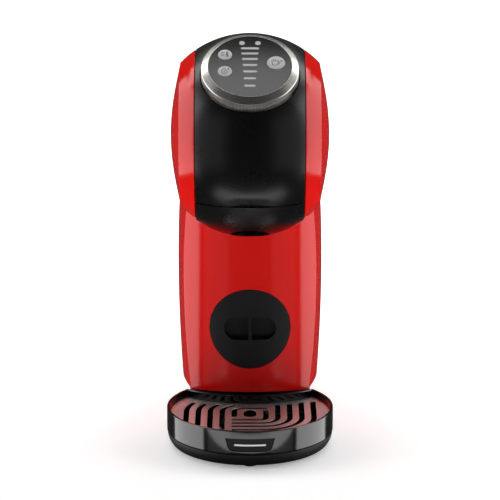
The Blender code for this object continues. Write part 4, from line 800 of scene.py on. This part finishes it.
def ringed(rings):
    """A closed shape through rings of plan points at their heights, with a flat face at each end."""
    bm = bmesh.new()
    first = loop = bmesh.ops.create_circle(bm, segments=len(rings[0][0]), radius=1)["verts"]
    for count, (points, z) in enumerate(rings):
        if count:
            held = set(loop)
            edges = {e for v in loop for e in v.link_edges if e.other_vert(v) in held}
            grown = set(bmesh.ops.extrude_edge_only(bm, edges=list(edges))["geom"])
            loop = [next(e.other_vert(v) for e in v.link_edges if e.other_vert(v) in grown) for v in loop]
        for v, (x, y) in zip(loop, points):
            v.co = (x, y, z)
    bmesh.ops.contextual_create(bm, geom=first)
    bmesh.ops.contextual_create(bm, geom=loop)
    bmesh.ops.recalc_face_normals(bm, faces=bm.faces)
    return bm


def layers(plan, *levels):
    """Rings of a plan for ringed(), each drawn in by an inset at a height; both are given in millimetres."""
    return [(plan(inset * MM), z * MM) for inset, z in levels]


def base_plan(inset):
    """The column's crowned front, straight flanks and the tank's rounded back."""
    half = 44 * MM - inset
    front = [(x, COLUMN_FRONT + 1.2 * MM + inset + crown_drop(x)) for x in spaced(-half, half, 41)]
    return front + arc((0, TANK_Y), 44.8 * MM - inset, 47.8 * MM - inset, 0, 180, 61)


TONGUE_RUN = [((-12.7 * MM, 0), (12.7 * MM, 0))]
TONGUE_AXES = Matrix.Translation((0, 0, 14 * MM - DISC_Z)) @ DISC_AXES
tongue_way = pills(TONGUE_RUN, 6.4 * MM, 30 * MM, 60 * MM, TONGUE_AXES)
bm = worked(
    ringed(layers(base_plan, (2.5, 23.9), (2.5, 3.4), (2.1, 3), (0.6, 3), (0, 3.6), (0, 25.8), (0.6, 26.4))),
    cutting(rod((0, TANK_Y, 0.02), (0, TANK_Y, 0.04), 8 * MM)),
    cutting(rod((0, 0.12, 0.0155), (0, 0.15, 0.0155), 6.1 * MM)),
    cutting(tongue_way),
)
made("base_skirt", bm, black_texture, "housing", "black_matt", ["base_housing"], edge=0.3 * MM, limit=50)

# Moulded rubber: dull and dark, with a cloudy grey bloom and a soft skin.
rubber = plain_moulding("moulded_black_rubber", "#161616", "#232323", 260.0, 4.0, 0.75, 1.52, relief=0.1)
refinish("base_plate", black_texture)
for node in ("foot_front_left", "foot_front_right", "foot_back_left", "foot_back_right", "cord_gland"):
    refinish(node, rubber)
for count in (1, 2, 3, 4):
    refinish(f"base_screw_{count}", ground_steel)

# --- Works inside the column ---
# Glass-filled nylon frame with the vibration pump on rubber rings, the cast aluminium heater, the flow meter
# and the silicone hoses that join them.

# Glass-filled nylon: fibres near the surface give the off-white moulding a dry, mottled skin.
nylon = plain_moulding("glass_filled_nylon", "#D0CFC9", "#DEDDD8", 500.0, 4.0, 0.55, 1.53, relief=0.1)
# Die-cast aluminium: a sandy skin, dull grey with tiny glints.
cast = plain_metal("die_cast_aluminium", "#B9BABC", 700.0, 5.0, 0.4, 0.6, 0.25, 0.1 * MM)
for node in ("inner_frame", "pump_bracket", "flow_meter", "tank_socket", "valve_housing"):
    refinish(node, nylon)
for node in ("pump_mount_lower", "pump_mount_upper"):
    refinish(node, rubber)
for node in ("suction_hose", "pump_hose", "pressure_hose", "hot_hose"):
    refinish(node, silicone)
refinish("pump", ground_steel)
refinish("thermoblock", cast)

# --- Tray support ---
# Textured dish that carries the bowl. Its tongue plugs into the base or into the mount disc, and a small round
# pad under its front keeps it off the worktop.
TRAY_Y, TRAY_RX, TRAY_RY = -76 * MM, 59.6 * MM, 64 * MM
TRAY_BACK_GAP = 2.4 * MM  # between the tray's back and the column


def tray_plan(inset, front_count=150, back_count=60):
    """An ellipse whose back follows the column's crowned front."""
    rx, ry = TRAY_RX - inset, TRAY_RY - inset
    centre_y = COLUMN_FRONT + CROWN_RADIUS
    reach = CROWN_RADIUS + TRAY_BACK_GAP + inset
    low, high = 0.0, math.pi / 2
    for _ in range(40):
        middle = (low + high) / 2
        x, y = rx * math.cos(middle), TRAY_Y + ry * math.sin(middle)
        low, high = (middle, high) if math.hypot(x, y - centre_y) > reach else (low, middle)
    corner = math.degrees(low)
    front = arc((0, TRAY_Y), rx, ry, 180 - corner, 360 + corner, front_count)
    x, y = front[-1]
    turn = math.degrees(math.atan2(y - centre_y, x))
    return front + arc((0, centre_y), reach, reach, turn, -180 - turn, back_count + 2)[1:-1]


def front_edge(x, inset=0.0):
    """Where the front of the tray's ellipse stands at a distance from the middle."""
    return TRAY_Y - (TRAY_RY - inset) * math.sqrt(1 - (x / (TRAY_RX - inset)) ** 2)


def shrunk(points, size, middle=-84 * MM):
    """Plan points drawn together round the tray's middle."""
    return [(x * size, middle + (y - middle) * size) for x, y in points]


dish = layers(tray_plan, (7, 4.4), (7, 9.6), (0.7, 9.6), (0.4, 9.3))
rim_plan = dish[-1][0]
dish += [
    (shrunk(rim_plan, 0.94 + 0.06 * math.sin(math.radians(90) * share) ** 0.9), (1.2 + 8.1 * share**1.15) * MM)
    for share in spaced(0.9, 0.0, 8)
]
pad_profile = [(0, 0), (5 * MM, 0), (6 * MM, 0.8 * MM), (6 * MM, 5 * MM), (0, 5 * MM)]
pad = turned(pad_profile, Vector((0, -130 * MM, 0)), UP, RIGHT, 48)
tongue = pills(TONGUE_RUN, 5 * MM, 43 * MM, 49.05 * MM, TONGUE_AXES)
neck = block((-13 * MM, -0.052, 4 * MM), (13 * MM, -0.047, 18.6 * MM))
bm = worked(ringed(dish), cutting(pad, "UNION"), cutting(neck, "UNION"), cutting(tongue, "UNION"))
made("tray_support_dish", bm, black_texture, "tray", "black_matt", ["tray_support"], edge=0.3 * MM, limit=50)

# --- Tray bowl ---
# Gloss black ABS bowl that catches drips, with an upright wall, a rounded rim and a curved recess for the name
# plate. It lifts out of its support to be emptied.
black_abs = gloss_abs("moulded_gloss_black_abs", "#060607", "#09090A", 0.1, 1.7)
RECESS_HALF, RECESS_LOW, RECESS_HIGH = 17.6 * MM, 12.2 * MM, 21.4 * MM


def plate_on_front(low_half, high_half, low, high, front, back, corner):
    """A curved slab that follows the bowl's front, between two depths, with rounded lower corners."""
    bm = sheet(40, 14)
    for v in bm.verts:
        level = (v.co.y + 1) / 2
        z = low + (high - low) * level
        half = low_half + (high_half - low_half) * level
        if corner and z - low < corner:
            half -= corner - math.sqrt(corner**2 - (corner - (z - low)) ** 2)
        x = v.co.x * half
        v.co = (x, front_edge(x, front), z)
    outwards(bm, (0, TRAY_Y, (low + high) / 2))
    return worked(bm, ("SOLIDIFY", {"thickness": back - front, "offset": -1}))


bowl_rings = layers(
    tray_plan, (0.5, 9.9), (0.1, 10.2), (0, 10.6), (0, 26.3), (0.15, 26.75), (0.5, 27), (1.5, 27),
    (1.85, 26.75), (2, 26.3), (2, 13), (2.4, 12.1), (3.2, 11.8),
)
backing = plate_on_front(19.6 * MM, 19.6 * MM, 11.2 * MM, 20 * MM, 1 * MM, 2.8 * MM, 0)
recess = plate_on_front(15.2 * MM, RECESS_HALF, RECESS_LOW, RECESS_HIGH, -1 * MM, 1.4 * MM, 3 * MM)
bm = worked(ringed(bowl_rings), cutting(backing, "UNION"), cutting(recess))
made("tray_bowl_gloss", bm, black_abs, "bowl", "black_gloss", ["tray_bowl"], edge=0.25 * MM, limit=50)

# --- Name plate ---
# A plain textured insert in the recess, with one slim satin bar on it and no lettering.
PLATE_GAP = 0.3 * MM
bm = plate_on_front(
    15.0 * MM, RECESS_HALF - PLATE_GAP, RECESS_LOW + PLATE_GAP, RECESS_HIGH - PLATE_GAP,
    0.6 * MM, 1.2 * MM, 2.8 * MM,
)
made("name_plate", bm, black_texture, "bowl", "black_matt", ["tray_badge"], edge=0.15 * MM, limit=50)
bm = plate_on_front(11 * MM, 11 * MM, 16.1 * MM, 17.5 * MM, 0.35 * MM, 0.8 * MM, 0)
made("name_plate_bar", bm, ground_steel, "bowl", "steel", edge=0.15 * MM, limit=50)

# --- Drip grid ---
# Stamped and polished stainless plate with slots that bend round a finger hole. Its back corners are bent up a
# little so that drips run inwards.

# Polished stainless steel: a broad satin shine, with faint wiping lines and patches of haze.
polished = blank_material("polished_stainless_steel")
spot = add(polished, "ShaderNodeTexCoord", {}).outputs["Object"]
haze = add(polished, "ShaderNodeTexNoise", {"Vector": spot, "Scale": 60.0, "Detail": 4.0})
rough = add(polished, "ShaderNodeMapRange", {0: haze.outputs["Fac"], 3: 0.34, 4: 0.42})
wipe = add(polished, "ShaderNodeMapping", {"Vector": spot, "Scale": (1, 20, 1)})
lines = add(polished, "ShaderNodeTexNoise", {"Vector": wipe.outputs[0], "Scale": 300.0, "Detail": 2.0})
scratch = add(polished, "ShaderNodeBump", {
    "Height": lines.outputs["Fac"], "Strength": 0.04, "Distance": 0.05 * MM,
})
as_surface(polished, add(polished, "ShaderNodeBsdfPrincipled", {
    "Base Color": linear("#E6E4E1"), "Metallic": 1.0,
    "Roughness": rough.outputs[0], "Normal": scratch.outputs[0],
}))
SLOT_PITCH, SLOT_WIDTH, GRID_TOP = 8.6 * MM, 4 * MM, 21.2 * MM
LEFT_BEND, RIGHT_BEND = (-5 * MM, -71.8 * MM), (7 * MM, -87.3 * MM)


def back_margin(x):
    """Where slots stop short of the grid's back edge."""
    return -58.2 * MM + x**2 / (190 * MM)


def left_slot(i):
    """Straight from the front, then bent to the right over the finger hole."""
    radius = 6.3 * MM + SLOT_PITCH * i
    x = LEFT_BEND[0] - radius
    points = [(x, -86.3 * MM if i == 0 else front_edge(x, 9 * MM))]
    for px, py in arc(LEFT_BEND, radius, radius, 180, 90, 28):
        if i and py > back_margin(px):
            break
        points.append((px, py))
    if i == 0:
        points.append((12.9 * MM, points[-1][1]))
    return points


def right_slot(i):
    """Straight from the back, then bent to the left in front of the finger hole."""
    rx, ry = 4.4 * MM + SLOT_PITCH * i, 5.9 * MM + 7.8 * MM * i
    x = RIGHT_BEND[0] + rx
    points = [(x, -69.2 * MM if i == 0 else min(back_margin(x), -49.8 * MM))]
    for px, py in arc(RIGHT_BEND, rx, ry, 0, -90, 28):
        if py < front_edge(px, 9 * MM):
            break
        points.append((px, py))
    if i < 4:
        points.append((-13.1 * MM, points[-1][1]))
    return points


def slot_cutter(path):
    """A wall as wide as a slot along a path."""
    bm = bmesh.new()
    low = [bm.verts.new((x, y, 10 * MM)) for x, y in path]
    edges = [bm.edges.new(pair) for pair in zip(low, low[1:])]
    raised = bmesh.ops.extrude_edge_only(bm, edges=edges)["geom"]
    top = [v for v in raised if isinstance(v, bmesh.types.BMVert)]
    bmesh.ops.translate(bm, vec=(0, 0, 20 * MM), verts=top)
    bmesh.ops.recalc_face_normals(bm, faces=bm.faces)
    return cutting(worked(bm, ("SOLIDIFY", {"thickness": SLOT_WIDTH, "offset": 0})))


finger_hole = pills([((0, -82 * MM), (0, -73.8 * MM))], 4.6 * MM, 0, 40 * MM, Matrix())
slots = [slot_cutter(left_slot(i)) for i in range(5)] + [slot_cutter(right_slot(i)) for i in range(5)]
bm = ringed([(tray_plan(2.3 * MM), GRID_TOP - 0.8 * MM), (tray_plan(2.3 * MM), GRID_TOP)])
bm = worked(bm, cutting(finger_hole), *slots)
for side in (-1, 1):
    corner, across = Vector((side * 45.2, -56.3, 0)) * MM, Vector((side * 27.7, 12.3, 0)).normalized()
    bmesh.ops.bisect_plane(bm, geom=bm.verts[:] + bm.edges[:] + bm.faces[:], plane_co=corner, plane_no=across)
    for v in bm.verts:
        beyond = (v.co - corner).dot(across)
        if beyond > 0 and v.co.x * side > 30 * MM:
            v.co.z += beyond * 0.1
made("drip_grid_polished", bm, polished, "grid", "steel", ["drip_grid"], edge=0.2 * MM, limit=50)

# --- Water tank ---
# Smoke-tinted clear SAN tank behind the column, with a valve in its floor and a textured lid that hinges along
# its front edge. A dished place in the lid takes a fingertip.

# Smoke-tinted SAN: clear and glossy, with faint draw marks that bend what is seen through it.
smoked_san = smoked("smoke_tinted_san", "#8E9196", "#95989D", 30.0, 2.0, 0.03, 0.07, 1.57, transmission=1.0)


def tank_plan(inset):
    """A straight front against the column and a rounded back."""
    half = 46 * MM - inset
    front = [(x, 64.5 * MM + inset) for x in spaced(-half, half, 9)]
    return front + arc((0, TANK_Y), half, 47.8 * MM - inset, 0, 180, 73)


bm = worked(
    ringed(layers(
        tank_plan, (1.2, 26.8), (0.3, 27.1), (0, 28), (0, 195.7), (0.3, 196), (1.9, 196), (2.2, 195.7),
        (2.2, 31), (3.6, 29.4),
    )),
    cutting(rod((0, TANK_Y, 0.02), (0, TANK_Y, 0.04), 7.2 * MM)),
)
made("tank_clear", bm, smoked_san, "tank", "clear_smoke", ["tank_body"], edge=0.2 * MM, limit=60)
finger_dish = arc((0, 0), 30 * MM, 30 * MM, -90, 90, 33)
bm = worked(
    ringed(layers(
        tank_plan, (4.4, 199), (4.4, 192), (2.6, 192), (2.6, 196.3), (-0.2, 196.3), (-0.2, 200.4),
        (0.15, 201.2), (0.9, 201.5),
    )),
    cutting(block((-0.06, 0.04, 0.18), (0.06, 0.0785, 0.196))),
    cutting(turned(finger_dish, Vector((0, 0.124, 0.2298)), UP, RIGHT, 96)),
)
made("tank_lid_textured", bm, black_texture, "lid", "black_matt", ["tank_lid"], edge=0.25 * MM, limit=50)

# --- Tank valve ---
# Moulded poppet held down by a coiled stainless spring, which is squeezed as the poppet is pushed up off its
# seat.
refinish("valve_poppet", black_texture)
SPRING_RADIUS, WIRE_RADIUS, SPRING_LOW, SPRING_HIGH = 3.4 * MM, 0.45 * MM, 33.2 * MM, 40.4 * MM
TURNS, TURN_STEPS = 3, 32
bm = bmesh.new()
start = Matrix.Translation((SPRING_RADIUS, TANK_Y, SPRING_LOW)) @ Matrix.Rotation(math.radians(90), 4, "X")
bmesh.ops.create_circle(bm, segments=12, radius=WIRE_RADIUS, matrix=start)
bmesh.ops.spin(
    bm, geom=bm.verts[:] + bm.edges[:], cent=(0, TANK_Y, 0), axis=UP, angle=math.radians(360 * TURNS),
    dvec=(0, 0, (SPRING_HIGH - SPRING_LOW) / (TURNS * TURN_STEPS)), steps=TURNS * TURN_STEPS,
)
bmesh.ops.holes_fill(bm, edges=[e for e in bm.edges if e.is_boundary], sides=0)
bmesh.ops.recalc_face_normals(bm, faces=bm.faces)
spring = made("valve_spring_coil", bm, ground_steel, "tank", "steel", ["valve_spring"])
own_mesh(spring)
